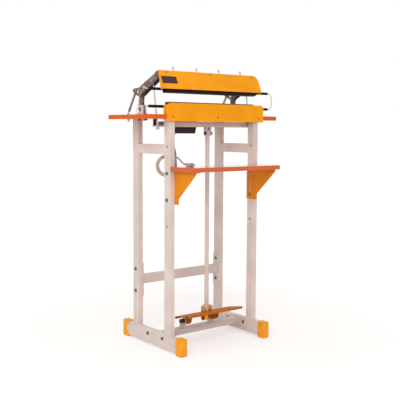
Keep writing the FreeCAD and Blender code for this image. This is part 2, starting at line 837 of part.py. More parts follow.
def upper_bar():
    half = upper_bar_width / 2
    zs = (upper_bar_bottom, upper_bar_bottom + upper_bar_height)
    body = block((-jaw_length / 2, jaw_length / 2), (jaw_line_y - half, jaw_line_y + half), zs)
    ends = [e for e in body.Edges if abs(e.CenterOfMass.z - zs[0]) < 0.01
            and abs(abs(e.CenterOfMass.x) - jaw_length / 2) < 0.01]
    body = body.makeChamfer(bar_end_chamfer, ends)
    for x in jaw_bolt_places():
        body = drill(body, V(x, stud_y(), zs[1]), Z, stud_radius, upper_bar_height)
    for side in (-1, 1):
        end = V(side * jaw_length / 2, jaw_line_y, upper_sleeve_z())
        body = drill(body, end, X, sleeve_radius, 2 * sleeve_spigot)
    return to_rest(body)


def upper_sleeve_z():
    return upper_bar_bottom + upper_bar_height - upper_sleeve_down


def stud_y():
    return jaw_line_y + 4.0


def upper_beam():
    reach = arm_x - arm_width / 2
    half = upper_beam_deep / 2
    ys = (arm_front_y - half, arm_front_y + half)
    zs = (upper_beam_top - upper_beam_tall, upper_beam_top)
    body = tube((-reach, reach), ys, zs, X)
    for x in jaw_bolt_places():
        body = drill(body, V(x, stud_y(), arm_front_z), Z, stud_radius + pin_fit, upper_beam_tall * 2)
    for x in cover_screw_places():
        seat, direction, normal = on_cover_face(x, cover_screw_down)
        body = drill(body, seat, normal, screw_radius, 2 * cover_screw_length)
    return to_rest(body)


def upper_cover():
    """A folded sheet cover on the upper jaw: a sloping face, a top flange and short returns."""
    def body(inset):
        half = upper_cover_width / 2 - inset
        top = upper_beam_top + sheet
        lean = (upper_cover_top_y - upper_cover_bottom_y) / (top - upper_cover_bottom_z)
        low = upper_cover_bottom_z - (2 if inset else 0)
        rear = arm_front_y + upper_beam_deep / 2 + inset
        points = [(upper_cover_bottom_y + inset + (low - upper_cover_bottom_z) * lean, low),
                  (upper_cover_top_y + inset, top - inset), (rear, top - inset), (rear, low)]
        return outline_yz(points, -half, half)

    shell = body(0)
    long_edges = [e for e in shell.Edges if e.Length > upper_cover_width / 2]
    top_front = [e for e in long_edges if abs(e.CenterOfMass.y - upper_cover_top_y) < 0.01]
    shell = shell.makeFillet(sheet_bend, top_front)
    shell = shell.cut(body(sheet))
    reach = upper_cover_width / 2
    open_ys = (upper_cover_top_y + upper_cover_return / 2, pivot_y)
    open_zs = (upper_cover_bottom_z - 1, upper_beam_top + 2 * sheet)
    for side in (-1, 1):
        shell = shell.cut(block((side * (reach - 1.5 * sheet), side * (reach + 1)), open_ys, open_zs))
    shell = shell.cut(corner_off(1, reach, upper_beam_top + sheet, upper_corner_wide, upper_corner_tall))
    for x in jaw_bolt_places():
        shell = drill(shell, V(x, stud_y(), upper_beam_top), Z, stud_radius + 1, sheet * 4)
    for x in cover_screw_places():
        seat, direction, normal = on_cover_face(x, cover_screw_down)
        shell = drill(shell, seat, normal, screw_radius, 2 * cover_screw_length)
    return to_rest(shell)


def on_cover_face(x, down):
    """A point on the cover's face, a distance down from its top edge, and the face's normal."""
    top = upper_beam_top + sheet
    direction = V(0, upper_cover_bottom_y - upper_cover_top_y, upper_cover_bottom_z - top).normalize()
    normal = direction.cross(X)
    return V(x, upper_cover_top_y, top) + direction * down, direction, normal


def upper_cover_screws():
    screws = []
    for x in cover_screw_places():
        seat, direction, normal = on_cover_face(x, cover_screw_down)
        screws.append(to_rest(pan_screw(seat, -normal, cover_screw_length)))
    return screws


def label_plate():
    """A bare name plate on the cover's face."""
    corner, direction, normal = on_cover_face(-upper_cover_width / 2 + label_from_edge, label_from_top)
    points = [corner, corner + X * label_width, corner + X * label_width + direction * label_height,
              corner + direction * label_height]
    body = Part.Face(Part.makePolygon(points + points[:1])).extrude(normal * label_thick)
    return to_rest(round_along(body, normal, label_thick * 2.5))


def wing(x, side, base_z):
    """One wing of a screw: a bent plate that rises outwards from the hub."""
    tip = V(x + side * wing_span / 2, stud_y(), base_z + wing_height)
    points = [V(x, stud_y(), base_z - wing_root), V(x + side * wing_elbow, stud_y(), base_z), tip,
              tip - X * (side * wing_tip) + Z * wing_root, V(x, stud_y(), base_z + 1.5 * wing_root)]
    plate_shape = Part.Face(Part.makePolygon(points + points[:1])).extrude(Y * wing_thick)
    plate_shape.translate(Y * (-wing_thick / 2))
    return plate_shape


def wing_screws():
    screws = []
    seat_z = upper_beam_top + sheet
    for x in jaw_bolt_places():
        bottom = upper_bar_bottom + upper_bar_height / 2
        stud = Part.makeCylinder(stud_radius, seat_z + stud_top_above_beam - bottom, V(x, stud_y(), bottom), Z)
        hub = Part.makeCone(wing_hub_radius, wing_neck_radius, wing_hub_height, V(x, stud_y(), seat_z + gap), Z)
        screw = stud.fuse(hub)
        for side in (-1, 1):
            screw = screw.fuse(wing(x, side, seat_z + wing_lift))
        screws.append(to_rest(screw.removeSplitter()))
    return screws


def upper_terminal():
    """An insulating sleeve plugged into the end of the upper bar."""
    end = jaw_length / 2
    z = upper_sleeve_z()
    start = V(end - sleeve_spigot, jaw_line_y, z)
    sleeve = Part.makeCylinder(sleeve_radius, sleeve_reach + sleeve_spigot, start, X)
    return to_rest(sleeve)


# Springs and rods

def spring_ends():
    """The far points of the spring's two hooks, which reach round the pin and the anchor's ring."""
    eye_y, eye_z = point_to_rest(spring_eye_y, spring_eye_z)
    eye = V(arm_x, eye_y, eye_z)
    ring_top = V(arm_x, anchor_y(), table_top_z + anchor_above_table)
    along = (eye - ring_top).normalize()
    past_pin = stud_radius + gap + spring_wire / 2
    past_ring = anchor_wire * math.sqrt(0.5) + gap + spring_wire / 2
    return eye + along * past_pin, ring_top - along * past_ring


def spring():
    """A tension spring between the arm's eye and the anchor on the table."""
    top, bottom = spring_ends()
    along = (top - bottom).normalize()
    start = bottom + along * spring_hook
    length = (top - bottom).Length - 2 * spring_hook
    body = Part.makeCylinder(spring_outer, length, start, along)
    hollow_from = start + along * spring_wire
    inside = Part.makeCylinder(spring_outer - spring_wire, length - 2 * spring_wire, hollow_from, along)
    body = body.cut(inside)
    for end, direction in ((start, -along), (start + along * length, along)):
        body = body.fuse(wire_ring(end + direction * (spring_hook / 2), X, spring_hook / 2, spring_wire))
    return body.removeSplitter()


def spring_anchor():
    """An eye bolt through the table, with a nut under it."""
    ring_z = table_top_z + anchor_above_table - anchor_ring
    ring = wire_ring(V(arm_x, anchor_y(), ring_z), Y, anchor_ring, anchor_wire)
    stem_top = ring_z - anchor_ring
    stem_bottom = table_bottom - 2 * bolt_head_height
    stem = Part.makeCylinder(stud_radius - gap, stem_top - stem_bottom, V(arm_x, anchor_y(), stem_bottom), Z)
    nut_middle = V(arm_x, anchor_y(), table_bottom - bolt_head_height / 2)
    nut = hexagon(nut_middle, Z, bolt_head * 0.8, bolt_head_height)
    return ring.fuse([stem, nut]).removeSplitter()


def draw_rod():
    """A rod from the arm down through the table, with an eye above and a knob below the yoke."""
    y, z = point_to_rest(rod_eye_y, rod_eye_z)
    eye_centre = V(arm_x, y, z)
    low = V(arm_x, draw_rod_y, yoke_bottom)
    along = (low - eye_centre).normalize()
    eye = disc(eye_centre, X, rod_eye_outer, rod_eye_thick)
    foot = low + along * (knob_height * 0.8)
    rod = Part.makeCylinder(draw_rod_radius, (foot - eye_centre).Length, eye_centre, along)
    rod = eye.fuse(rod)
    rod = rod.cut(disc(eye_centre, X, rod_pin_radius + pin_fit, arm_width * 2))
    return rod.removeSplitter(), knob(low, along)


def knob(low, along):
    """The round nut under the yoke that takes the pull."""
    start = low + along * knob_play
    body = Part.makeCylinder(knob_radius, knob_height, start, along)
    ends = [e for e in body.Edges if isinstance(e.Curve, Part.Circle)]
    body = body.makeChamfer(knob_height * 0.15, ends)
    return body.cut(Part.makeCylinder(draw_rod_radius, knob_height, start, along))


def yoke():
    """The moving crossbar under the table: a tube with a lug at each end and a clevis."""
    reach = frame_width / 2
    ys = (yoke_y - yoke_deep / 2, yoke_y + yoke_deep / 2)
    bar = tube((-reach, reach), ys, (yoke_bottom, yoke_bottom + yoke_tall), X)
    for side in (-1, 1):
        lug = block((side * (reach - tube_narrow), side * (arm_x + rod_hole_radius * 2.4)),
                    (ys[0] + lug_front_step, ys[1] + lug_rear_step), (yoke_bottom, yoke_bottom + lug_thick))
        lug = round_along(lug, Z, lug_thick)
        lug = drill(lug, V(side * arm_x, draw_rod_y, yoke_bottom), Z, rod_hole_radius, lug_thick * 4)
        bar = bar.fuse(lug)
    inner = pull_rod_size / 2 + gap
    for side in (-1, 1):
        xs = sorted((side * inner, side * (inner + tab_thick)))
        tab = link_yz(pull_rod_y, pull_pin_z, tab_deep / 2, pull_rod_y, yoke_bottom, tab_deep / 2, *xs)
        above = (yoke_bottom, yoke_bottom + yoke_deep)
        tab = tab.cut(block((-reach, reach), (-yoke_deep * 5, yoke_deep * 5), above))
        tab = drill(tab, V(0, pull_rod_y, pull_pin_z), X, pull_pin_radius, 100)
        bar = bar.fuse(tab)
    return bar.removeSplitter()


def buffer():
    """A rubber stop on the yoke's lug that meets the under side of the table."""
    base = yoke_bottom + lug_thick
    return Part.makeCylinder(buffer_radius, table_bottom - gap - base,
                             V(arm_x, yoke_y + yoke_deep / 2 + buffer_from_yoke, base), Z)


def pull_pin():
    """The pin of the yoke's clevis with a knob on its right end."""
    reach = pull_rod_size / 2 + gap + tab_thick
    left_end = V(-reach - pull_head_thick, pull_rod_y, pull_pin_z)
    pin = Part.makeCylinder(pull_pin_radius, 2 * reach + pull_head_thick, left_end, X)
    head = Part.makeCylinder(pull_head_radius, pull_head_thick, left_end, X)
    grip = Part.makeCylinder(pull_knob_radius, pull_knob_length, V(reach, pull_rod_y, pull_pin_z), X)
    grip = grip.makeChamfer(pull_knob_chamfer, [e for e in grip.Edges if isinstance(e.Curve, Part.Circle)])
    return pin.fuse([head, grip]).removeSplitter()


def pull_rod():
    half = pull_rod_size / 2
    top = pull_pin_z + pull_rod_size
    bottom = pedal_plane(pedal_pin_y) + tread_clearance
    rod = tube((-half, half), (pull_rod_y - half, pull_rod_y + half), (bottom, top), Z)
    rod = drill(rod, V(0, pull_rod_y, pull_pin_z), X, pull_pin_radius + pin_fit, 2 * pull_rod_size)
    return drill(rod, V(0, pedal_pin_y, pedal_pin_z), X, pull_hole_radius, 2 * pull_rod_size)


# Pedal

def pedal_plane(y, thickness=0.0):
    """The height of the pedal's tread at y."""
    return pedal_rear_z + (pedal_rear_y - y) * math.tan(math.radians(pedal_tilt)) - thickness


def pedal():
    """A tread plate with folded lips, two ears on the hinge bolts and a clevis on top."""
    t = pedal_sheet
    half = pedal_half_width
    front_z = pedal_plane(pedal_front_y)
    low_front = front_z - pedal_lip
    low_rear = pedal_rear_z - pedal_lip
    inner_front = pedal_front_y + t
    inner_rear = pedal_rear_y - t
    points = [(pedal_rear_y, pedal_rear_z), (pedal_front_y, front_z), (pedal_front_y - pedal_lip_lean, low_front),
              (inner_front - pedal_lip_lean, low_front), (inner_front, pedal_plane(inner_front, t)),
              (inner_rear, pedal_plane(inner_rear, t)), (inner_rear, low_rear), (pedal_rear_y, low_rear)]
    body = outline_yz(points, -half, half)
    rib_front = pedal_axis_y - rib_from_axis
    rib_low = pedal_plane(rib_front, t) - pedal_lip
    rib = outline_yz([(rib_front, pedal_plane(rib_front, t)), (rib_front, rib_low), (rib_front + t, rib_low),
                      (rib_front + t, pedal_plane(rib_front + t, t))], ear_left, ear_right)
    return body.fuse([rib] + pedal_ears() + pedal_clevis()).removeSplitter()


def over_tread(x_from, x_to):
    """All space above the tread's top face, to trim what is joined below it."""
    far = 4 * pedal_rear_z
    front = pedal_front_y - pedal_plate_length
    rear = pedal_rear_y + pedal_plate_length
    points = [(rear, pedal_plane(rear)), (front, pedal_plane(front)), (front, far), (rear, far)]
    return outline_yz(points, x_from, x_to)


def pedal_ears():
    ears = []
    top_y = pedal_axis_y - ear_from_axis
    top_radius = ear_radius * 1.4
    for side in (-1, 1):
        xs = (ear_place(side) - pedal_sheet / 2, ear_place(side) + pedal_sheet / 2)
        top_z = pedal_plane(top_y) - ear_radius
        ear = link_yz(pedal_axis_y, pedal_axis_z, ear_radius, top_y, top_z, top_radius, *xs)
        ear = ear.cut(over_tread(xs[0] - 1, xs[1] + 1))
        ears.append(drill(ear, V(0, pedal_axis_y, pedal_axis_z), X, bolt_radius, 2 * frame_width))
    return ears


def pedal_clevis():
    """Two tabs that pass through the tread, square above it and round below."""
    tabs = []
    half = tab_deep / 2
    top = pedal_pin_z + half
    for side in (-1, 1):
        xs = sorted((side * clevis_gap, side * (clevis_gap + pedal_sheet)))
        upper = block(xs, (pedal_pin_y - half, pedal_pin_y + half), (clevis_low_z, top))
        middle = side * (clevis_gap + pedal_sheet / 2)
        upper_edges = [e for e in upper.Edges if abs(e.CenterOfMass.z - top) < 0.01]
        corners = [e for e in upper_edges if abs(e.CenterOfMass.x - middle) < 0.01]
        upper = upper.makeFillet(tab_corner, corners)
        tab = upper.fuse(disc(V(middle, pedal_pin_y, clevis_low_z), X, half, pedal_sheet))
        tabs.append(drill(tab, V(0, pedal_pin_y, pedal_pin_z), X, pedal_pin_radius, 4 * clevis_gap))
    return tabs


def pedal_pins():
    """The two hinge bolts and the clevis pin, all fixed to the pedal."""
    pins = []
    for side in (-1, 1):
        inner = ear_place(side) - side * pedal_sheet / 2
        outer = lug_span(side)[1] + side * gap
        place = V(inner - side * bolt_head_height, pedal_axis_y, pedal_axis_z)
        length = abs(outer - place.x) + bolt_head_height - pedal_pin_end
        shank = Part.makeCylinder(bolt_radius, length, place, X * side)
        nut = hexagon(place + X * (side * bolt_head_height / 2), X, bolt_head, bolt_head_height)
        if side < 0:
            seat = V(outer, pedal_axis_y, pedal_axis_z)
            head = Part.makeCylinder(pedal_knob_radius, pedal_knob_length, seat, X * side)
            rims = [e for e in head.Edges if isinstance(e.Curve, Part.Circle)]
            head = head.makeChamfer(pedal_knob_chamfer, rims)
        else:
            middle = V(outer + bolt_head_height / 2, pedal_axis_y, pedal_axis_z)
            head = hexagon(middle, X, bolt_head, bolt_head_height)
        pins.append(shank.fuse([nut, head]).removeSplitter())
    reach = clevis_gap + pedal_sheet
    pin_length = 2 * (reach + pedal_pin_washer - pedal_pin_end)
    pin = disc(V(0, pedal_pin_y, pedal_pin_z), X, pedal_pin_radius, pin_length)
    spacer_from = pull_rod_size / 2 + gap
    for side in (-1, 1):
        spacer_middle = V(side * (spacer_from + clevis_gap) / 2, pedal_pin_y, pedal_pin_z)
        washer_middle = V(side * (reach + pedal_pin_washer / 2), pedal_pin_y, pedal_pin_z)
        pin = pin.fuse(disc(spacer_middle, X, pedal_pin_radius * 1.8, clevis_gap - spacer_from))
        pin = pin.fuse(disc(washer_middle, X, pedal_pin_radius * 1.6, pedal_pin_washer))
    pins.append(pin.removeSplitter())
    return pins


# Power box

def power_box():
    """The housing of the transformer, hung under the table, and its lid plate."""
    top = table_bottom - box_lid
    bottom = table_bottom - box_height
    ys = (box_front, box_front + box_depth)
    corners = [(box_left, bottom), (box_right - box_slope, bottom), (box_right, top), (box_left, top)]
    points = [V(x, ys[0], z) for x, z in corners]
    body = Part.Face(Part.makePolygon(points + points[:1])).extrude(V(0, box_depth, 0))
    half_way = [e for e in body.Edges if abs(e.CenterOfMass.z - (top + bottom) / 2) < 1]
    uprights = [e for e in half_way if e.Length < box_height * 1.3]
    body = body.makeFillet(box_corner, uprights)
    lid = block((box_left - box_flange, box_right + box_flange), ys, (top, table_bottom))
    lid = round_along(lid, Z, box_corner)
    return body, lid


def gland():
    """The nut and the tapered strain relief in the bottom of the box."""
    start = V(box_left + gland_from_end, box_front + box_depth / 2, table_bottom - box_height)
    nut = hexagon(start - Z * (gland_nut / 2), Z, gland_radius * 1.25, gland_nut)
    barrel = Part.makeCone(gland_radius, gland_radius * 0.62, gland_length, start - Z * gland_nut, -Z)
    return nut.fuse(barrel).removeSplitter()


# Cords and leads

def round_tube(points, radius, label):
    """A tube along straight runs that are joined by tangent arcs; prints its radii."""
    corners = [V(*p) for p in points]
    edges = []
    radii = []
    start = corners[0]
    for before, corner, after in zip(corners, corners[1:], corners[2:]):
        way_in = corner - before
        way_out = after - corner
        turn = way_in.getAngle(way_out)
        shorter = min(way_in.Length, way_out.Length)
        radii.append(0.45 * shorter / math.tan(turn / 2))
        unit_in = V(way_in).normalize()
        unit_out = V(way_out).normalize()
        first = corner - unit_in * (0.45 * shorter)
        last = corner + unit_out * (0.45 * shorter)
        inward = (unit_out - unit_in).normalize()
        middle = corner + inward * (radii[-1] * (1 / math.cos(turn / 2) - 1))
        edges.append(Part.LineSegment(start, first).toShape())
        edges.append(Part.Arc(first, middle, last).toShape())
        start = last
    edges.append(Part.LineSegment(start, corners[-1]).toShape())
    path = Part.Wire(edges)
    ring = Part.Wire(Part.Circle(corners[0], corners[1] - corners[0], radius).toShape())
    body = path.makePipeShell([ring], True, False)
    print(label, "radii", [round(r) for r in radii], "length", round(path.Length),
          "volume against section times length", round(body.Volume / (math.pi * radius ** 2 * path.Length), 4))
    return body


def from_sleeve(route, side):
    return [(side * sleeve_end + x, y, z) for x, y, z in route]


def oval(half_tall, half_wide, height):
    wire = Part.Wire(Part.Ellipse(V(0, 0, 0), half_tall, half_wide).toShape())
    wire.translate(Z * height)
    return wire


def cord_coil():
    """The outer shape of the loose coil: a thick oval ring that hangs upright."""
    half = coil_thick / 2
    levels = ((-half, coil_edge), (coil_edge - half, 0), (half - coil_edge, 0), (half, coil_edge))
    hole_tall = coil_half_height - coil_band
    hole_wide = coil_half_width - coil_band
    rims = [oval(coil_half_height - cut, coil_half_width - cut, z) for z, cut in levels]
    holes = [oval(hole_tall + cut, hole_wide + cut, z) for z, cut in levels]
    outer = Part.makeLoft(rims, True, True)
    inner = Part.makeLoft(holes, True, True)
    ring = outer.cut(inner)
    ring.rotate(V(0, 0, 0), Y, -90)
    ring.rotate(V(0, 0, 0), Z, 90 + coil_turn)
    ring.translate(V(*coil_centre))
    return ring


def mains_plug():
    """A plain moulded plug with two round prongs, lying on the shelf."""
    end = V(*tail_route[-1])
    along = (end - V(*tail_route[-2]))
    along = V(along.x, along.y, 0).normalize()
    across = Z.cross(along)
    half = plug_width / 2
    rear = cord_radius * 1.6
    shoulder = end + along * (plug_length * 0.45)
    nose = end + along * plug_length
    points = [end + across * rear, shoulder + across * half, nose + across * half,
              nose - across * half, shoulder - across * half, end - across * rear]
    body = Part.Face(Part.makePolygon(points + points[:1])).extrude(Z * plug_thick)
    body.translate(Z * (shelf_top_z + gap - end.z))
    body = round_along(body, Z, 2)
    for side in (-1, 1):
        root = end + along * (plug_length - 1) + across * (side * prong_spacing / 2)
        root.z = shelf_top_z + gap + plug_thick / 2
        body = body.fuse(Part.makeCylinder(prong_radius, prong_length + 1, root, along))
    return body.removeSplitter()


# Assembly

table_core, table_band = table()
shelf_core, shelf_band = shelf()
front_holes = leg_hole_places()
rear_holes = rear_bolt_places()
pieces_right = {
    "base_rail": base_rail(),
    "front_leg": leg(front_leg_y, front_holes),
    "rear_leg": leg(rear_leg_y, rear_holes),
    "side_rail": side_rail(),
    "front_foot_cap": foot_cap(True),
    "rear_foot_cap": foot_cap(False),
    "shelf_bracket": shelf_bracket(),
    "pivot_post": post(),
    "post_foot": post_foot(),
    "jaw_arm": arm(),
}
for name, shape in pieces_right.items():
    keep(name + "_right", shape)
    keep(name + "_left", mirrored(shape))

coil_spring = spring()
keep("return_springs", coil_spring, mirrored(coil_spring))
keep("rear_crossbar", rear_crossbar())
keep("pedal_crossbar", pedal_crossbar())
keep("table_board", table_core)
keep("table_edge_band", table_band)
keep("shelf_board", shelf_core)
keep("shelf_edge_band", shelf_band)

keep("lower_jaw_beam", lower_beam())
lower_terminal = terminal()
keep("lower_terminals", lower_terminal, mirrored(lower_terminal))
keep("lower_heating_element", element(jaw_line_y, lower_beam_top, lower_jaw_length))
keep("lower_jaw_cloth", cloth_cover(lower_jaw_length, lower_beam_width, seal_z - cloth_drop, seal_z, True))
keep("lower_jaw_cover", lower_cover())

keep("upper_jaw_beam", upper_beam())
keep("upper_jaw_bar", upper_bar())
upper_end = upper_terminal()
keep("upper_terminals", upper_end, mirrored(upper_end))
keep("upper_heating_element", to_rest(element(jaw_line_y, upper_bar_bottom - element_thick, jaw_length)))
cloth_bottom = upper_bar_bottom - element_thick - cloth
cloth_top = upper_bar_bottom + upper_bar_height * 0.8
keep("upper_jaw_cloth", to_rest(cloth_cover(jaw_length, upper_bar_width, cloth_bottom, cloth_top, False)))
keep("upper_jaw_cover", upper_cover())
keep("label_plate", label_plate())
keep("wing_screws", *wing_screws())
keep("upper_cover_screws", *upper_cover_screws())

pin = hinge_pin()
keep("hinge_pins", pin, mirrored(pin))
rod_pin = arm_pin(rod_eye_y, rod_eye_z, rod_pin_radius)
eye_pin = arm_pin(spring_eye_y, spring_eye_z, stud_radius)
keep("arm_pins", rod_pin, mirrored(rod_pin), eye_pin, mirrored(eye_pin))
anchor = spring_anchor()
keep("spring_anchors", anchor, mirrored(anchor))

rod, rod_knob = draw_rod()
keep("draw_rod_right", rod, rod_knob)
keep("draw_rod_left", mirrored(rod), mirrored(rod_knob))
keep("yoke", yoke())
stop = buffer()
keep("yoke_buffers", stop, mirrored(stop))
keep("pull_pin", pull_pin())
keep("pull_rod", pull_rod())
keep("pedal", pedal())
keep("pedal_pins", *pedal_pins())

box_body, box_top = power_box()
keep("power_box", box_body, box_top)
keep("cord_gland", gland())

keep("mains_cord", round_tube(cord_route, cord_radius, "cord"), round_tube(tail_route, cord_radius, "tail"))
keep("cord_coil", cord_coil())
keep("mains_plug", mains_plug())
keep("heater_leads", round_tube(from_sleeve(jumper_route, 1), hose_radius, "jumper"),
     round_tube(from_sleeve(upper_lead_route, -1), lead_radius, "upper lead"),
     round_tube(from_sleeve(lower_lead_route, -1), lead_radius, "lower lead"))

# Hexagon bolts of the frame, the posts and the lower jaw
bolts = []
for side in (-1, 1):
    for z in rear_holes:
        bolts.append(bolt(V(side * (leg_x - plate / 2), rear_leg_y, z), X * side, tube_narrow + plate))
    for y in bar_bolt_places():
        bolts.append(bolt(V(side * (leg_x - plate / 2), y, pedal_bar_z()), X * side, tube_narrow + plate))
    for z in front_holes[1:3]:
        middle = V(side * (leg_x - bracket_sheet / 2), front_leg_y, z)
        bolts.append(bolt(middle, X * side, tube_narrow + bracket_sheet))
    bolts.append(bolt(V(side * arm_x, pivot_y, foot_bolt_z()), X, post_thick + 2 * foot_sheet))
    for y in foot_bolt_places():
        bolts.append(bolt(V(side * arm_x, y, foot_bolt_middle()), Z, board_thickness + foot_sheet))
for x in jaw_bolt_places():
    middle = table_top_z + (lower_beam_wall - board_thickness) / 2
    bolts.append(bolt(V(x, jaw_line_y, middle), Z, board_thickness + lower_beam_wall))
keep("hexagon_bolts", *bolts)

# Pan head screws of the table, the shelf and the lower cover
screws = []
for side in (-1, 1):
    for x, y in head_screw_places():
        screws.append(pan_screw(V(side * x, y, table_bottom - plate), Z, wood_screw_length))
    for x, y in shelf_screw_places():
        screws.append(pan_screw(V(side * x, y, shelf_bottom - bracket_sheet), Z, wood_screw_length))
for x in cover_screw_places():
    screws.append(pan_screw(V(x, table_front - sheet, edge_screw_z()), Y, cover_screw_length))
keep("pan_screws", *screws)

os.makedirs("parts", exist_ok=True)
triangles = 0
for name, pieces in nodes.items():
    shape = pieces[0] if len(pieces) == 1 else Part.makeCompound(list(pieces))
    shape.exportStep("parts/" + name + ".step")
    count = len(shape.tessellate(0.1)[1])
    triangles += count
    print(name, "solids", len(shape.Solids), "valid", shape.isValid(), "triangles", count)
print("nodes", len(nodes), "triangles", triangles)
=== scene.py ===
# %% [markdown]
# # A foot pedal sealer, finished for a picture
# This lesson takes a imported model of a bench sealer, in metres, and dresses it.
# The frame, the boards and the sheet covers keep their solids and get finishes.
# Springs, leads, the mains cord and its plug, cloths, screws, bolts, a bare name
# plate and weld seams are modelled here.

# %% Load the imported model
import math
import bpy
from mathutils import Matrix, Vector


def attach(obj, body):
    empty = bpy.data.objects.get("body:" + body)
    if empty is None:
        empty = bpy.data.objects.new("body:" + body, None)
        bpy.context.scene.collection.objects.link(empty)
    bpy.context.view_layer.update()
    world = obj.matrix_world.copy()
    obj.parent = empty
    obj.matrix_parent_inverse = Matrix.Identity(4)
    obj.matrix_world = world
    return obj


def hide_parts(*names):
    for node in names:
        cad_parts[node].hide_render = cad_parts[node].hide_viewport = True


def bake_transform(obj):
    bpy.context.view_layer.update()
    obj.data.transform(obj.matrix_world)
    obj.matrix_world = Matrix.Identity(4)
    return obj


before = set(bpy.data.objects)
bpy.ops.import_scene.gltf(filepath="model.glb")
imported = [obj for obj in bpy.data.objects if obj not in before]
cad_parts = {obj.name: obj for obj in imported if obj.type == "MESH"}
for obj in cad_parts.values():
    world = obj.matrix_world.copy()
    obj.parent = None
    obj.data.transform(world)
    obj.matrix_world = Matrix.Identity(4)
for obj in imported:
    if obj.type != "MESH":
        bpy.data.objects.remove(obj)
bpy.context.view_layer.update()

# %% [markdown]
# ## The camera
# A picture of a machine is matched by its camera first. The place, the turn and
# the lens were solved from the corners of the legs and boards. Verticals lean a
# little, so the camera looks down by about five degrees, from below table height.
# The picture's width and the focal length are in pixels, the sensor in millimetres.

# %% Camera
picture_width = 400
focal_length = 732.5
sensor_width = 36
camera_place = Vector((-1.956, -2.5126, 0.9097))
yaw, pitch, roll = (math.radians(a) for a in (38.226, -5.434, 0.285))
level_forward = Vector((math.sin(yaw), math.cos(yaw), 0))
forward = level_forward * math.cos(pitch) + Vector((0, 0, math.sin(pitch)))
level_right = Vector((math.cos(yaw), -math.sin(yaw), 0))
level_up = level_right.cross(forward)
right = level_right * math.cos(roll) + level_up * math.sin(roll)
up = level_up * math.cos(roll) - level_right * math.sin(roll)
lens = bpy.data.cameras.new("camera")
lens.sensor_width = sensor_width
lens.lens = focal_length / picture_width * sensor_width
camera = bpy.data.objects.new("camera", lens)
bpy.context.scene.collection.objects.link(camera)
axes = Matrix((right, up, -forward)).transposed().to_4x4()
camera.matrix_world = Matrix.Translation(camera_place) @ axes
bpy.context.scene.camera = camera
bpy.context.scene.view_settings.view_transform = "Standard"
print("lens", round(lens.lens, 2))

# %% [markdown]
# ## Starting a piece
# Operators act on everything that is selected, and loading leaves the CAD nodes
# selected. So each piece starts from an empty selection, is shaped in edit mode,
# and ends with its place in its mesh, at the origin.

# %% Helpers for modelling
def alone(piece=None):
    """Empties the selection, then selects one piece and makes it active."""
    bpy.ops.object.select_all(action="DESELECT")
    if piece is not None:
        piece.select_set(True)
        bpy.context.view_layer.objects.active = piece


def settle(piece, name):
    """Puts the piece's place into its mesh and names it."""
    alone(piece)
    bpy.ops.object.transform_apply(location=True, rotation=True, scale=True)
    piece.name = name
    return piece


def modify(piece, kind, **settings):
    """Adds a modifier, sets it and applies it."""
    alone(piece)
    modifier = piece.modifiers.new(kind.title(), kind)
    for key, value in settings.items():
        setattr(modifier, key, value)
    bpy.ops.object.modifier_apply(modifier=modifier.name)


def joined(pieces, name):
    """Joins pieces into one and names it."""
    alone(pieces[0])
    for piece in pieces:
        piece.select_set(True)
    if len(pieces) > 1:
        bpy.ops.object.join()
    return settle(pieces[0], name)


def copied(piece, place):
    """A copy with its own mesh, moved by a matrix."""
    twin = piece.copy()
    twin.data = piece.data.copy()
    twin.data.transform(place)
    bpy.context.scene.collection.objects.link(twin)
    return twin


def finished(piece, finish):
    """Gives a piece its material."""
    piece.data.materials.clear()
    piece.data.materials.append(finish.material)


def dress(piece, body, finish, node=None, smooth=35):
    """Smooths a piece, gives it its material and body, and hides the node that it replaces."""
    alone(piece)
    bpy.ops.object.shade_smooth_by_angle(angle=math.radians(smooth))
    finished(piece, finish)
    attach(piece, body)
    if node:
        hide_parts(node)
    print(piece.name, "faces", len(piece.data.polygons))


# %% [markdown]
# ## Cord and leads
# A lead is a fixed length of something flexible. Its line is a smooth spline through
# a few listed points, the same that the solids use. The mains cord leaves the gland,
# drops behind the left front leg into a coil, and its tail lies over the rear edge of
# the shelf to the plug. Each turn of the coil has a depth and a step outwards of its
# own, and eases to those of the next turn near its end.

# %% Mains cord
millimetre = 0.001
cord_diameter = 7.5
cord_route = [(-120, 4, 874), (-120, 4, 856), (-122, -5, 838), (-128, -20, 824),
              (-136.5, -36, 813), (-145.5, -49, 803), (-152.5, -59, 791), (-156, -66.5, 777)]
tail_route = [(-193, -71, 800.5), (-180.5, -80.5, 802), (-172, -92, 799.5), (-168, -105, 792),
              (-167.5, -118, 782), (-168, -132, 774.5), (-168, -144, 771.8), (-168, -154, 771.8)]
coil_centre = Vector((-194, -50, 763))
coil_heading = math.radians(-38.5)
coil_side = Vector((math.cos(coil_heading), math.sin(coil_heading), 0))
coil_depth = Vector((-coil_side.y, coil_side.x, 0))
coil_across = 38.2
coil_tall = 39.0
layers = ((7.9, 3.85), (7.9, -3.85), (0, -3.85), (0, 3.85), (-7.9, 3.85), (-7.9, -3.85),
          (-15.8, -3.85))
first_turn, last_turn = 0.25, 6
points_a_turn = 16
steady_part = 0.6


def coil_points(first, last):
    """The points of the coil from the first turn to the last."""
    points = []
    for step in range(round(first * points_a_turn), round(last * points_a_turn) + 1):
        turn = step / points_a_turn
        place = min(int(turn), len(layers) - 2)
        ease = max(0.0, (turn - place - steady_part) / (1 - steady_part))
        ease = ease * ease * (3 - 2 * ease)
        depth, out = (a + (b - a) * ease for a, b in zip(layers[place], layers[place + 1]))
        angle = 2 * math.pi * turn
        across = (coil_across + out) * math.sin(angle)
        tall = (coil_tall + out) * math.cos(angle)
        flat = coil_centre + coil_side * across + coil_depth * depth
        points.append(tuple(flat + Vector((0, 0, tall))))
    return points


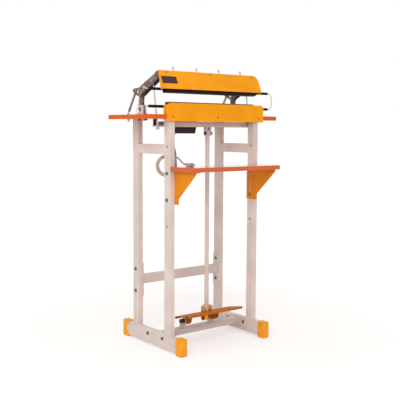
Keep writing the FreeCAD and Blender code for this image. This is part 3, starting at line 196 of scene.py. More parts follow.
def spline(name, points, radius, order=3):
    """An open NURBS spline through millimetre points, as thick as radius in metres."""
    curve = bpy.data.curves.new(name, "CURVE")
    curve.dimensions = "3D"
    line = curve.splines.new("NURBS")
    line.points.add(len(points) - 1)
    for point, place in zip(line.points, points):
        point.co = (place[0] * millimetre, place[1] * millimetre, place[2] * millimetre, 1)
    line.order_u = order
    line.use_endpoint_u = True
    line.resolution_u = 6
    curve.bevel_depth = radius
    curve.bevel_resolution = 4
    curve.use_fill_caps = True
    piece = bpy.data.objects.new(name, curve)
    bpy.context.scene.collection.objects.link(piece)
    return piece


def line_points(piece):
    """The points of a spline's own line, read from the curve without its thickness."""
    depth = piece.data.bevel_depth
    piece.data.bevel_depth = 0
    mesh = bpy.data.meshes.new_from_object(piece)
    points = [v.co.copy() for v in mesh.vertices]
    bpy.data.meshes.remove(mesh)
    piece.data.bevel_depth = depth
    return points


def line_length(points):
    """The length of a line through points."""
    return sum((b - a).length for a, b in zip(points, points[1:]))


whole_route = cord_route + coil_points(first_turn, last_turn) + tail_route
cord = spline("mains_lead", whole_route, cord_diameter / 2 * millimetre)
cord_length = line_length(line_points(cord))
print("mains cord length", round(cord_length, 3))

# %% [markdown]
# ## Shader maths in Python
# A finish is built from sockets. Wrapping a socket in a small class lets a number
# that varies over the surface be written as a sum or product, and each operator
# adds its Math node. Every other node comes from one function that adds a node and
# feeds its inputs, which the world and the floor use as well.

# %% The value and finish classes
def wired(tree, kind, inputs, **settings):
    """Adds a node. An input is a number, a colour or the output socket that feeds it."""
    node = tree.nodes.new(kind)
    for key, value in settings.items():
        setattr(node, key, value)
    for key, value in inputs.items():
        if isinstance(value, bpy.types.NodeSocket):
            tree.links.new(value, node.inputs[key])
        else:
            node.inputs[key].default_value = value
    return node


def srgb(red, green, blue):
    """A colour as read from a picture, 0 to 255, as the linear colour of a shader."""
    channels = []
    for value in (red, green, blue):
        value = value / 255
        channels.append(value / 12.92 if value <= 0.04045 else ((value + 0.055) / 1.055) ** 2.4)
    return (*channels, 1)


class Value:
    """A number that varies over a surface."""

    def __init__(self, finish, socket):
        self.finish = finish
        self.socket = socket

    def maths(self, operation, *values):
        """A Math node over values, numbers or both."""
        return self.finish.node("ShaderNodeMath", dict(enumerate(values)), operation=operation)

    def __add__(self, other):
        return self.maths("ADD", self, other)

    def __sub__(self, other):
        return self.maths("SUBTRACT", self, other)

    def __rsub__(self, other):
        return self.maths("SUBTRACT", other, self)

    def __mul__(self, other):
        return self.maths("MULTIPLY", self, other)

    __radd__ = __add__
    __rmul__ = __mul__

    def between(self, low, high):
        """0 below low, 1 above high and smooth between them."""
        limits = {"Value": self, "From Min": low, "From Max": high}
        return self.finish.node("ShaderNodeMapRange", limits, interpolation_type="SMOOTHSTEP")


class Finish:
    """A material with a Principled shader, and the record's slot that it is for."""

    def __init__(self, name, slot, colour, **constants):
        self.slot = slot
        self.material = bpy.data.materials.new(name)
        self.material.use_nodes = True
        self.tree = self.material.node_tree
        self.shader = next(n for n in self.tree.nodes if n.type == "BSDF_PRINCIPLED")
        self.set(Base_Color=colour, **constants)
        self.material.diffuse_color = colour

    def set(self, **values):
        """Sets or feeds inputs of the shader; Base_Color means Base Color."""
        for key, value in values.items():
            socket = self.shader.inputs[key.replace("_", " ")]
            if isinstance(value, Value):
                self.tree.links.new(value.socket, socket)
            else:
                socket.default_value = value

    def node(self, kind, values, output=0, **settings):
        """A node whose inputs are values or numbers, as the value of one of its outputs."""
        inputs = {k: v.socket if isinstance(v, Value) else v for k, v in values.items()}
        return Value(self, wired(self.tree, kind, inputs, **settings).outputs[output])

    def place(self, scale=(1, 1, 1)):
        """The place on the object in metres, stretched by scale."""
        where = self.node("ShaderNodeTexCoord", {}, "Object")
        return self.node("ShaderNodeMapping", {"Vector": where, "Scale": scale})

    def along(self, axis):
        """The place along one axis of the object, 0, 1 or 2, in metres."""
        return self.node("ShaderNodeSeparateXYZ", {0: self.place()}, axis)

    def noise(self, size, detail=3, stretch=(1, 1, 1)):
        """Noise whose patches are about size metres across."""
        values = {"Vector": self.place(stretch), "Scale": 1 / size, "Detail": detail}
        return self.node("ShaderNodeTexNoise", values, "Fac")

    def shades(self, factor, first, last):
        """A colour that goes from the first to the last as factor goes from 0 to 1."""
        return self.node("ShaderNodeMix", {0: factor, 6: first, 7: last}, 2, data_type="RGBA")

    def rounded(self, radius):
        """The normal of a surface whose sharp edges are rounded by radius."""
        return self.node("ShaderNodeBevel", {"Radius": radius}, samples=6)

    def edges(self, radius):
        """1 on sharp edges, 0 a radius away from them."""
        flat = self.node("ShaderNodeNewGeometry", {}, "Normal")
        dot = self.node("ShaderNodeVectorMath", {0: self.rounded(radius), 1: flat}, "Value",
                        operation="DOT_PRODUCT")
        return (1 - dot).between(0.01, 0.16)

    def raised(self, height, distance, radius=None):
        """Bumps of a height in metres, on edges that are rounded by radius."""
        values = {"Height": height, "Distance": distance}
        if radius:
            values["Normal"] = self.rounded(radius)
        self.set(Normal=self.node("ShaderNodeBump", values))
        return self


def darker(colour, share):
    """A shader colour times a share."""
    return tuple(c * share for c in colour[:3]) + (1,)


# %% [markdown]
# ## Floor and light
# The photograph has a plain white room. The world is white to the camera and in
# reflections, and softer to the surfaces. A wide sun from behind the camera, high up,
# gives the covers their shape, and a soft box lights what faces the left. To the
# camera the floor adds white of its own, less of it near the machine, so that little
# more than the shadow shows.

# %% World, floor and lights
white = (1, 1, 1, 1)
paper_colour = (0.88, 0.84, 0.81, 1)
floor_size, floor_gap = 60, 0.0005
world_fill = 0.80
floor_glow = 1.32
glow_share = {"From Min": 0.5, "From Max": 2.2, "To Min": 0.37, "To Max": 0.62}

world = bpy.data.worlds.new("room")
bpy.context.scene.world = world
world.use_nodes = True
room = world.node_tree
background = next(n for n in room.nodes if n.type == "BACKGROUND")
ray = wired(room, "ShaderNodeLightPath", {}).outputs
seen = ray["Is Camera Ray"]
for kind in ("Is Glossy Ray", "Is Transmission Ray"):
    seen = wired(room, "ShaderNodeMath", {0: seen, 1: ray[kind]}, operation="MAXIMUM").outputs[0]
strength = wired(room, "ShaderNodeMapRange", {"Value": seen, "To Min": world_fill, "To Max": 1})
room.links.new(strength.outputs[0], background.inputs["Strength"])
background.inputs["Color"].default_value = white

alone()
bpy.ops.mesh.primitive_plane_add(size=floor_size, location=(0, 0, -floor_gap))
floor = settle(bpy.context.object, "floor")
paper = bpy.data.materials.new("floor_paper")
paper.use_nodes = True
tree = paper.node_tree
tree.nodes.clear()
shade = wired(tree, "ShaderNodeBsdfDiffuse", {"Color": paper_colour})
glow = wired(tree, "ShaderNodeEmission", {"Strength": floor_glow})
ray = wired(tree, "ShaderNodeLightPath", {}).outputs
place = wired(tree, "ShaderNodeTexCoord", {}).outputs["Object"]
away = wired(tree, "ShaderNodeVectorMath", {0: place}, operation="LENGTH").outputs["Value"]
near = wired(tree, "ShaderNodeMapRange", {"Value": away, **glow_share},
             interpolation_type="SMOOTHSTEP")
share = wired(tree, "ShaderNodeMath", {0: ray["Is Camera Ray"], 1: near.outputs[0]},
              operation="MULTIPLY")
blend = wired(tree, "ShaderNodeMixShader",
              {0: share.outputs[0], 1: shade.outputs[0], 2: glow.outputs[0]})
wired(tree, "ShaderNodeOutputMaterial", {"Surface": blend.outputs[0]})
floor.data.materials.append(paper)


def light(name, kind, place, direction, **settings):
    """A light at a place that shines in a direction."""
    alone()
    bpy.ops.object.light_add(type=kind, location=place)
    lamp = bpy.context.object
    lamp.name = name
    lamp.rotation_euler = Vector(direction).to_track_quat("-Z", "Y").to_euler()
    for key, value in settings.items():
        setattr(lamp.data, key, value)


light("key_light", "SUN", (0, 0, 3), (0.42, 0.52, -0.75), energy=0.36, angle=math.radians(25))
light("soft_box", "AREA", (-1.7, -1.35, 1.4), (1.65, 1.2, -0.5), energy=13.5, size=0.9)

# %% [markdown]
# ## The finishes
# The frame has a matte warm white paint with a fine orange peel. The covers have a
# deeper powder coat. Both are darker and rougher in faint patches. The frame loses
# some paint on sharp edges, and the covers have a pale yellow painted highlight
# there. Each finish is one function of a few numbers.

# %% Painted metal
def painted(name, slot, colour, edge_colour_chipped_and_highlit, roughness=0.42, peel=0.0016, edge_amount_chipped_and_highlit=0.5, ior=1.5):
    """Paint over steel: darker patches, a fine peel and edge specks: wear on most coats, a painted
    highlight on the orange covers.
    """
    finish = Finish(name, slot, colour, IOR=ior)
    patches = finish.noise(0.12, 4)
    dust = finish.noise(0.0016, 2)
    shade = finish.shades(patches.between(0.3, 0.75), darker(colour, 0.84), colour)
    # On most coats the edge colour is wear; on the orange covers it is a painted highlight.
    edge_mask_chipped_and_highlit = finish.edges(0.0011) * finish.noise(0.004, 5).between(0.5, 0.62) * edge_amount_chipped_and_highlit
    finish.set(Base_Color=finish.shades(edge_mask_chipped_and_highlit, shade, edge_colour_chipped_and_highlit),
               Roughness=roughness + 0.12 * patches + 0.05 * dust)
    return finish.raised(finish.noise(peel, 2), 0.00012, 0.0007)


bare_steel = srgb(150, 142, 134)
frame_paint = painted("frame_paint", "frame_paint", srgb(224, 208, 200), bare_steel, peel=0.0012)
yoke_paint = painted("yoke_paint", "frame_paint", srgb(220, 206, 201), bare_steel, 0.4, 0.0012,
                     edge_amount_chipped_and_highlit=0.6)
# The pale yellow edge colour of the covers is a painted highlight along their edges.
orange_coat = painted("orange_powder_coat", "orange_paint", srgb(252, 161, 4),
                      srgb(255, 206, 96), edge_amount_chipped_and_highlit=0.8, ior=1.25)
bracket_coat = painted("bracket_powder_coat", "orange_paint", srgb(232, 140, 20),
                       srgb(150, 84, 30), ior=1.25)
pedal_coat = painted("pedal_powder_coat", "orange_paint", srgb(192, 104, 14),
                     srgb(110, 74, 44), 0.5, edge_amount_chipped_and_highlit=0.9, ior=1.2)
black_coat = painted("black_coat", "black_paint", srgb(24, 20, 20), srgb(90, 84, 80), 0.5,
                     0.001, ior=1.3)
box_coat = painted("box_coat", "black_paint", srgb(58, 42, 42), srgb(110, 100, 96), 0.5,
                   0.001, ior=1.35)
bar_coat = painted("jaw_bar_coat", "black_paint", srgb(12, 10, 10), srgb(60, 56, 54), 0.5,
                   0.001, edge_amount_chipped_and_highlit=0.3, ior=1.25)
tread_slope = math.tan(math.radians(11.5))
tread_y, tread_z = -0.052, 0.122


def brighter_above_tread(finish, colour):
    """What stands over the tread keeps a bright coat that no shoe has rubbed."""
    level = finish.along(2) + finish.along(1) * tread_slope
    above = (level - (tread_z + tread_y * tread_slope)).between(0.0015, 0.0045)
    rubbed = Value(finish, finish.shader.inputs["Base Color"].links[0].from_socket)
    finish.set(Base_Color=finish.shades(above, rubbed, colour))


brighter_above_tread(pedal_coat, srgb(248, 160, 30))
print("materials so far", len(bpy.data.materials))

# %% [markdown]
# Cast arms and posts keep the sand texture under their grey paint, and dirt
# gathers in it. A Voronoi pattern on top of noise gives the pits.

# %% Castings and plain steel
def cast(name, slot, colour, dirt):
    """Painted sand casting: grain with pits, dirt in patches and a painted highlight on the edges.
    """
    finish = Finish(name, slot, colour, Metallic=0.35, IOR=1.45)
    grain = finish.noise(0.0022, 6)
    stain = finish.noise(0.03, 4)
    pits = finish.node("ShaderNodeTexVoronoi", {"Vector": finish.place(), "Scale": 420},
                       "Distance", feature="F1")
    # Pale grey on the sharp edges is a painted highlight.
    edge_highlight = finish.edges(0.0014) * finish.noise(0.003, 3).between(0.4, 0.6)
    body = finish.shades(stain.between(0.35, 0.7), dirt, colour)
    finish.set(Base_Color=finish.shades(edge_highlight * 0.6, body, srgb(172, 164, 156)),
               Roughness=0.5 + 0.2 * grain)
    return finish.raised(grain + pits * 0.5, 0.00035, 0.0009)


def plated(name, slot, colour, roughness, stain):
    """Zinc plating: metal with cloudy roughness and faint yellow bloom."""
    finish = Finish(name, slot, colour, Metallic=1.0)
    cloud = finish.noise(0.006, 4)
    bloom = finish.noise(0.02, 3).between(0.45, 0.75)
    finish.set(Base_Color=finish.shades(bloom * 0.6, colour, stain),
               Roughness=roughness + 0.18 * cloud)
    return finish.raised(finish.noise(0.0006, 3), 0.00004, 0.0004)


castings = cast("grey_casting", "cast_metal", srgb(148, 132, 122), srgb(92, 82, 75))
rubbed_black, worn_black = srgb(86, 80, 78), srgb(60, 52, 46)
zinc = plated("zinc_steel", "bright_steel", srgb(196, 192, 186), 0.28, srgb(160, 146, 124))
yellow_zinc = plated("yellow_zinc", "bright_steel", srgb(190, 134, 66), 0.36,
                     srgb(140, 92, 52))
dull_zinc = plated("dull_zinc", "dark_steel", srgb(140, 131, 124), 0.36, srgb(104, 92, 82))
black_oxide = plated("black_oxide", "dark_steel", rubbed_black, 0.34, worn_black)
pedal_steel = plated("pedal_steel", "bright_steel", rubbed_black, 0.34, worn_black)
brighter_above_tread(pedal_steel, srgb(196, 176, 140))
spring_steel = plated("spring_steel", "bright_steel", srgb(176, 168, 162), 0.3,
                      srgb(110, 100, 92))
band_steel = plated("heating_band", "heating_band", srgb(176, 172, 168), 0.25,
                    srgb(140, 110, 84))
print("metals made")

# %% [markdown]
# Moulded caps, sleeves and plugs are plastic: a faint skin texture and slightly
# paler high edges. The rubber buffers are rougher and dusty.

# %% Plastics and rubber
def moulded(name, slot, colour, roughness, skin, ior=1.47):
    """Moulded plastic or rubber: flow marks, a skin texture and paler edges."""
    finish = Finish(name, slot, colour, IOR=ior)
    flow = finish.noise(0.03, 3)
    pale = tuple(min(1.0, c * 1.25 + 0.02) for c in colour[:3]) + (1,)
    body = finish.shades(flow.between(0.3, 0.7), darker(colour, 0.86), colour)
    finish.set(Base_Color=finish.shades(finish.edges(0.001) * 0.5, body, pale),
               Roughness=roughness + 0.15 * flow)
    return finish.raised(finish.noise(skin, 2), 0.00006, 0.0008)


cap_plastic = moulded("yellow_cap_plastic", "yellow_plastic", srgb(250, 166, 34), 0.45,
                      0.0009, 1.3)
sleeve_plastic = moulded("black_sleeve", "black_plastic", srgb(10, 9, 9), 0.5, 0.0007, 1.25)
buffer_rubber = moulded("buffer_rubber", "black_rubber", srgb(30, 29, 30), 0.68, 0.0011)
lead_skin = moulded("pale_lead", "sleeve_plastic", srgb(236, 214, 204), 0.45, 0.0006)
cord_skin = moulded("taupe_cord", "cord_grey", srgb(188, 175, 161), 0.5, 0.0009)
print("plastics made")

# %% [markdown]
# The boards are laminated chipboard: a fine figure of long grain under a satin
# skin, and a separate orange band round the edge with small nicks.

# %% Boards and band
def laminate(name, slot, colour, dark):
    """Wood print under a clear satin skin, its grain along X."""
    finish = Finish(name, slot, colour, IOR=1.5, Coat_Weight=1.0, Coat_Roughness=0.07)
    figure = finish.noise(0.02, 6, (0.12, 1, 1))
    pores = finish.noise(0.0018, 3, (0.08, 1, 1)).between(0.5, 0.7)
    body = finish.shades(figure.between(0.35, 0.65), dark, colour)
    finish.set(Base_Color=finish.shades(pores * 0.35, body, darker(dark, 0.7)),
               Roughness=0.34 + 0.12 * figure)
    return finish.raised(pores, 0.00005)


board_top = laminate("board_laminate", "board_laminate", srgb(214, 132, 86),
                     srgb(190, 104, 62))
table_band, shelf_band = (
    painted(name, "board_edge", colour, srgb(196, 124, 84), 0.4, 0.004, 0.8, ior)
    for name, colour, ior in (("table_edge_band", srgb(222, 98, 10), 1.25),
                              ("shelf_edge_band", srgb(216, 104, 62), 1.3)))
print("boards made")

# %% [markdown]
# The jaws are wrapped in glass cloth coated with PTFE, brown on the lower jaw and
# black on the upper one. It is slick and shows its plain weave. Two sets of ribs
# crossing at right angles make the weave, one raised where the other dips, and the
# dips are coloured darker as painted shade.

# %% Glass cloth
threads_a_metre = 900
threads = 2 * math.pi * threads_a_metre


def ribs(finish, axis):
    """Rows of threads across one axis of the object, from 0 to 1."""
    turns = finish.along(axis) * threads
    return turns.maths("SINE", turns) * 0.5 + 0.5


def glass_weave(name, low, high, burnt):
    """Coated glass cloth: high threads and low ones coloured darker as painted shade, and burnt
    patches drawn out along X.
    """
    finish = Finish(name, "heat_cloth", high, IOR=1.3)
    warp = ribs(finish, 0)
    weft = ribs(finish, 1)
    over = (warp * weft) + (1 - warp) * (1 - weft)
    scorch = finish.noise(0.05, 4, (0.4, 1, 1)).between(0.45, 0.7)
    # Where the weave dips its colour is darker: a painted shade in the dips.
    finish.set(Base_Color=finish.shades(scorch * 0.55, finish.shades(over, low, high), burnt),
               Roughness=0.34 + 0.15 * over)
    return finish.raised(over, 0.00006)


brown_cloth = glass_weave("brown_glass_cloth", srgb(84, 60, 38), srgb(132, 100, 66),
                          srgb(60, 42, 30))
black_cloth = glass_weave("black_glass_cloth", srgb(10, 8, 8), srgb(26, 22, 22),
                          srgb(14, 10, 10))
label_skin = painted("label_enamel", "label_metal", srgb(74, 42, 44), srgb(150, 132, 126), 0.4,
                     0.0012, ior=1.3)
print("materials", len(bpy.data.materials))

# %% [markdown]
# ## Finishes on the solids
# A node that keeps its solid gets its finish by name. Names that end in right and
# left share one entry.

# %% Finish every CAD node
finishes = {
    frame_paint: "base_rail front_leg rear_leg side_rail rear_crossbar pedal_crossbar "
                 "pull_rod post_foot",
    yoke_paint: "yoke",
    orange_coat: "lower_jaw_cover upper_jaw_cover",
    bracket_coat: "shelf_bracket",
    pedal_coat: "pedal",
    cap_plastic: "front_foot_cap rear_foot_cap",
    castings: "pivot_post jaw_arm",
    board_top: "table_board shelf_board",
    table_band: "table_edge_band",
    shelf_band: "shelf_edge_band",
    bar_coat: "upper_jaw_bar",
    box_coat: "power_box",
    black_coat: "lower_jaw_beam upper_jaw_beam",
    sleeve_plastic: "lower_terminals upper_terminals cord_gland",
    zinc: "draw_rod hinge_pins arm_pins spring_anchors wing_screws upper_cover_screws "
          "pan_screws return_springs",
    black_oxide: "hexagon_bolts pull_pin",
    pedal_steel: "pedal_pins",
    buffer_rubber: "yoke_buffers",
    cord_skin: "mains_cord cord_coil mains_plug",
    lead_skin: "heater_leads",
    brown_cloth: "lower_jaw_cloth",
    black_cloth: "upper_jaw_cloth",
    band_steel: "lower_heating_element upper_heating_element",
    label_skin: "label_plate",
}
for finish, names in finishes.items():
    for stem in names.split():
        for node in (stem, stem + "_right", stem + "_left"):
            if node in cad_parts:
                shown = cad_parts[node]
                shown.data.materials.clear()
                shown.data.materials.append(finish.material)
given = [finish.material for finish in finishes]
left_over = [name for name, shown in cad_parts.items()
             if not any(material in given for material in shown.data.materials)]
print("nodes without a finish:", left_over)

# %% [markdown]
# ## The skin of the mains cord
# The cord takes the place of two solids, the cord and its coil.

# %% Mains cord, finished
finished(cord, cord_skin)
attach(cord, "frame")
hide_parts("mains_cord", "cord_coil")
print("cord and coil replaced")

# %% [markdown]
# ## Leads of the heating bands
# Each band gets its current through thin leads at the ends of its sleeves. The
# jumper on the right joins the two jaws. A tube whose two ends ride on different
# bodies has to be a mesh, made from the spline.

# %% Heater leads
sleeve_end = 320
upper_band, lower_band = (-102.8, 1073.1), (-104, 1004)
jumper_route = [(0, *upper_band), (9.4, *upper_band), (16.8, -102.8, 1070),
                (22.4, -102.9, 1064.4), (25.5, -103.1, 1057), (26.8, -103.4, 1044),
                (26.8, -103.7, 1033), (25.5, -103.9, 1020.1), (22.4, -104, 1012.7),
                (16.8, -104, 1007), (9.4, *lower_band), (0, *lower_band)]
upper_lead_route = [(0, *upper_band), (-7, *upper_band), (-13, -99, 1074.5),
                    (-14, -88, 1077.5), (-5, -72, 1081), (16, -54, 1084.5), (38, -34, 1086),
                    (48, -10, 1081), (50, 14, 1071), (50, 30, 1057), (49, 36, 1038),
                    (44, 36, 1018), (36, 34, 1000), (32, 32, 984), (32, 32, 963)]
lower_lead_route = [(0, *lower_band), (-5, *lower_band), (-9, -104.2, 1001.5),
                    (-10.6, -104.6, 996.5), (-10, -105.2, 987), (-7.8, -105.8, 975),
                    (-7, -106, 963)]


def as_mesh(curve, finish):
    """The smooth mesh of a curve, with its finish."""
    alone(curve)
    bpy.ops.object.convert(target="MESH")
    piece = bpy.context.object
    alone(piece)
    bpy.ops.object.shade_smooth()
    finished(piece, finish)
    return piece


def lead(name, route, side, diameter):
    """A thin lead as a mesh tube, and the line that it follows."""
    points = [(x + side * sleeve_end, y, z) for x, y, z in route]
    curve = spline(name, points, diameter / 2)
    line = line_points(curve)
    return as_mesh(curve, lead_skin), line


jumper_diameter, lead_diameter = 0.005, 0.0032
jumper, jumper_line = lead("jumper_lead", jumper_route, 1, jumper_diameter)
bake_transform(jumper)
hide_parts("heater_leads")
upper_lead, upper_line = lead("upper_jaw_lead", upper_lead_route, -1, lead_diameter)
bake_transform(upper_lead)
lower_lead, lower_line = lead("lower_jaw_lead", lower_lead_route, -1, lead_diameter)
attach(lower_lead, "frame")

# %% [markdown]
# ## Return springs
# A tension spring is one wire: a hook, a close coil, and a hook. The wire's line is
# worked out turn by turn and given its thickness as a curve. Then it becomes a mesh
# that stretches between the arm and the anchor on the table.

# %% Return springs
hook_size = 0.009
hook_steps = 12
coil_radius = 0.0047
coil_turns = 44
steps_a_turn = 12
wire_radius = 0.0008


def hook(eye, inwards, across):
    """The line of a hook through an eye, up to where the coil starts."""
    centre = eye + inwards * (hook_size / 2)
    angles = [math.radians(-70 + 250 * step / hook_steps) for step in range(hook_steps + 1)]
    return [centre + (across * math.sin(a) - inwards * math.cos(a)) * (hook_size / 2)
            for a in angles]


def spring_line(top, bottom):
    """The line of the wire, in metres, hooks and coil."""
    along = (top - bottom).normalized()
    side = Vector((1, 0, 0))
    across = along.cross(side)
    points = hook(bottom, along, across)
    length = (top - bottom).length - 2 * hook_size
    for step in range(coil_turns * steps_a_turn + 1):
        angle = 2 * math.pi * step / steps_a_turn
        middle = bottom + along * (hook_size + length * step / (coil_turns * steps_a_turn))
        points.append(middle + (side * math.cos(angle) + across * math.sin(angle)) * coil_radius)
    return points + hook(top, -along, across)[::-1]


def coil_spring(name, side):
    """A return spring between the eye of an arm and its anchor on the table."""
    top = Vector((side * 0.25, 0.0880, 1.0775))
    bottom = Vector((side * 0.25, 0.1507, 0.9794))
    places = [place / millimetre for place in spring_line(top, bottom)]
    curve = spline(name, places, wire_radius, order=2)
    curve.data.resolution_u = 1
    curve.data.bevel_resolution = 2
    piece = as_mesh(curve, spring_steel)
    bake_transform(piece)
    print(name, "faces", len(piece.data.polygons))
    return piece


right_spring = coil_spring("return_spring_right", 1)
coil_spring("return_spring_left", -1)
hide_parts("return_springs")

# %% [markdown]
# ## Cloth on the jaws
# Each jaw is wrapped in a strip of glass cloth that is pulled over the working
# face. A box of the jaw's size loses its open sides, gets round corners and a few
# soft ripples, then a thickness.

# %% Jaw cloths
hinge = Vector((0, 0.048, 1.066))
jaw_open = (Matrix.Translation(hinge) @ Matrix.Rotation(math.radians(-14), 4, "X")
            @ Matrix.Translation(-hinge))
same_place = 1e-6
cloth_thickness = 0.00025
fold_radius = 0.0016


def pick(piece, kind, test):
    """Selects the faces or edges of a piece that pass a test, in edit mode."""
    bpy.ops.object.mode_set(mode="EDIT")
    bpy.ops.mesh.select_mode(type=kind)
    bpy.ops.mesh.select_all(action="DESELECT")
    bpy.ops.object.mode_set(mode="OBJECT")
    for part in piece.data.polygons if kind == "FACE" else piece.data.edges:
        part.select = test(part)
    bpy.ops.object.mode_set(mode="EDIT")


def faces_where(piece, test):
    """Selects the faces whose centre and normal pass a test."""
    pick(piece, "FACE", lambda face: test(face.center, face.normal))


def edges_where(piece, test):
    """Selects the edges whose two ends pass a test."""
    points = piece.data.vertices
    pick(piece, "EDGE", lambda edge: test(*(points[v].co for v in edge.vertices)))


def jaw_cloth(name, low, high, open_side):
    """A strip folded over a box from low to high, open above (1) or below (-1)."""
    alone()
    middle = (Vector(low) + Vector(high)) / 2
    size = Vector(high) - Vector(low)
    bpy.ops.mesh.primitive_cube_add(size=1, location=middle, scale=size)
    piece = settle(bpy.context.object, name)
    faces_where(piece, lambda centre, normal: normal.z * open_side > 0.9 or abs(normal.x) > 0.9)
    bpy.ops.mesh.delete(type="FACE")
    fold = high[2] if open_side < 0 else low[2]
    edges_where(piece, lambda a, b: same_place > max(abs(a.z - fold), abs(b.z - fold),
                                                     abs(a.y - b.y)))
    bpy.ops.mesh.bevel(offset=fold_radius, segments=3, affect="EDGES")
    edges_where(piece, lambda a, b: abs(a.x - b.x) > 0.1)
    bpy.ops.mesh.subdivide(number_cuts=60)
    bpy.ops.object.mode_set(mode="OBJECT")
    ripple = bpy.data.textures.new(name + "_ripple", "CLOUDS")
    ripple.noise_scale = 0.03
    modify(piece, "DISPLACE", texture=ripple, strength=0.0003, mid_level=0.6,
           texture_coords="GLOBAL")
    modify(piece, "SOLIDIFY", thickness=cloth_thickness, offset=1)
    return piece


lower_cloth = jaw_cloth("lower_jaw_glass_cloth", (-0.2232, -0.1184, 1.0015),
                        (0.2232, -0.0816, 1.0230), -1)
dress(lower_cloth, "frame", brown_cloth, "lower_jaw_cloth")
upper_cloth = jaw_cloth("upper_jaw_glass_cloth", (-0.2432, -0.1118, 1.0236),
                        (0.2432, -0.0882, 1.0424), 1)
upper_cloth.data.transform(jaw_open)
dress(upper_cloth, "upper_jaw", black_cloth, "upper_jaw_cloth")

# %% [markdown]
# ## Screws
# Turned parts start as one point that is drawn along half of their outline and then
# spun about their axis. A pan head gets its cross recess from two crossing blocks.
# One function makes the screw in two lengths: a long one for the twelve wood screws
# under the boards, and a short one for the three of either cover.

# %% Turned parts and pan head screws
def turned(name, outline, steps=24):
    """A body of revolution about Z from an outline of (radius, height) in millimetres."""
    alone()
    bpy.ops.mesh.primitive_plane_add(size=millimetre)
    piece = bpy.context.object
    bpy.ops.object.mode_set(mode="EDIT")
    bpy.ops.mesh.select_mode(type="VERT")
    bpy.ops.mesh.select_all(action="SELECT")
    bpy.ops.mesh.merge(type="CENTER")
    start = (outline[0][0] * millimetre, 0, outline[0][1] * millimetre)
    bpy.ops.transform.translate(value=start)
    for (r0, z0), (r1, z1) in zip(outline, outline[1:]):
        move = ((r1 - r0) * millimetre, 0, (z1 - z0) * millimetre)
        bpy.ops.mesh.extrude_vertices_move(TRANSFORM_OT_translate={"value": move})
    bpy.ops.mesh.select_all(action="SELECT")
    bpy.ops.mesh.spin(steps=steps, angle=2 * math.pi, center=(0, 0, 0), axis=(0, 0, 1))
    bpy.ops.mesh.select_all(action="SELECT")
    bpy.ops.mesh.remove_doubles(threshold=0.01 * millimetre)
    bpy.ops.mesh.normals_make_consistent(inside=False)
    bpy.ops.object.mode_set(mode="OBJECT")
    return settle(piece, name)


def block(name, size, place):
    """A block of a size at a place, both in millimetres."""
    alone()
    bpy.ops.mesh.primitive_cube_add(size=1, location=Vector(place) * millimetre,
                                    scale=Vector(size) * millimetre)
    return settle(bpy.context.object, name)


def carved(piece, cutter):
    """The piece without the cutter."""
    modify(piece, "BOOLEAN", object=cutter, operation="DIFFERENCE", solver="EXACT")
    bpy.data.objects.remove(cutter)
    return piece


def pan_screw(name, length):
    """A pan head screw whose head rests on Z = 0 and whose point goes down."""
    head = [(0, 2.4), (1.6, 2.34), (2.9, 2.1), (3.8, 1.6), (4.3, 0.9), (4.5, 0.3), (4.4, 0),
            (1.9, 0)]
    thread = []
    for turn in range(int(length) - 3):
        thread += [(1.5, -turn - 0.5), (1.95, -turn - 1)]
    screw = turned(name, head + thread + [(1.4, -length + 2), (0, -length)])
    for size in ((5.2, 1.1, 2.2), (1.1, 5.2, 2.2)):
        screw = carved(screw, block("recess", size, (0, 0, 2.2)))
    return screw


def aimed(place, direction):
    """A matrix that carries Z to a direction and the origin to a millimetre place."""
    turn = Vector(direction).to_track_quat("Z", "Y").to_matrix().to_4x4()
    return Matrix.Translation(Vector(place) * millimetre) @ turn


def replaced(name, model, body, finish, places, node=None):
    """Copies of a model at many places, joined into one piece that may replace a node."""
    dress(joined([copied(model, place) for place in places], name), body, finish, node)


wood_screw = pan_screw("wood_screw", 15)
cover_screw = pan_screw("cover_screw", 8)
below = (0, 0, -1)
table_underside, shelf_underside = 951, 743
seats = [aimed((x, y, table_underside), below)
         for x in (-200.5, 200.5) for y in (-128, -103, 103, 128)]
seats += [aimed((x, y, shelf_underside), below) for x in (-201, 201) for y in (-239.8, -170.3)]
replaced("board_wood_screws", wood_screw, "frame", yellow_zinc, seats, "pan_screws")
cover_places = (-230, 0, 230)
front = [aimed((x, -146.5, 963), (0, -1, 0)) for x in cover_places]
replaced("lower_cover_pan_screws", cover_screw, "frame", yellow_zinc, front)
rightwards = Vector((1, 0, 0))
cover_down = Vector((0, -16, -81.5)).normalized()
cover_normal = cover_down.cross(rightwards)


def on_cover(x, down):
    """A place on the upper cover's face while the jaw is shut, down from its top edge."""
    return Vector((x, -110, 1112.5)) + cover_down * down


tilted = [jaw_open @ aimed(on_cover(x, 9), cover_normal) for x in cover_places]
replaced("upper_cover_pan_screws", cover_screw, "upper_jaw", yellow_zinc, tilted,
         "upper_cover_screws")
for model in (wood_screw, cover_screw):
    bpy.data.objects.remove(model)

# %% [markdown]
# ## Hexagon bolts
# Twelve bolts with hexagon heads, washers and nuts go through the legs and base
# rails. Two hold the posts, four the channels under the posts, and four the beam of
# the lower jaw. Their grip differs, so one function makes the bolt for a grip. Heads
# and nuts are six-sided cylinders whose rims are bevelled. The shank with its washers
# and the thread end is one turned part.

# %% Hexagon bolts
def hexagon(height, middle):
    """A hexagon nut or head 13 mm across the corners, its rims bevelled."""
    alone()
    bpy.ops.mesh.primitive_cylinder_add(vertices=6, radius=6.5 * millimetre,
                                        depth=height * millimetre,
                                        location=(0, 0, middle * millimetre))
    piece = settle(bpy.context.object, "hexagon")
    faces_where(piece, lambda centre, normal: abs(normal.z) > 0.9)
    bpy.ops.mesh.bevel(offset=0.6 * millimetre, segments=2, affect="EDGES")
    bpy.ops.mesh.select_all(action="SELECT")
    bpy.ops.mesh.normals_make_consistent(inside=False)
    bpy.ops.object.mode_set(mode="OBJECT")
    return piece


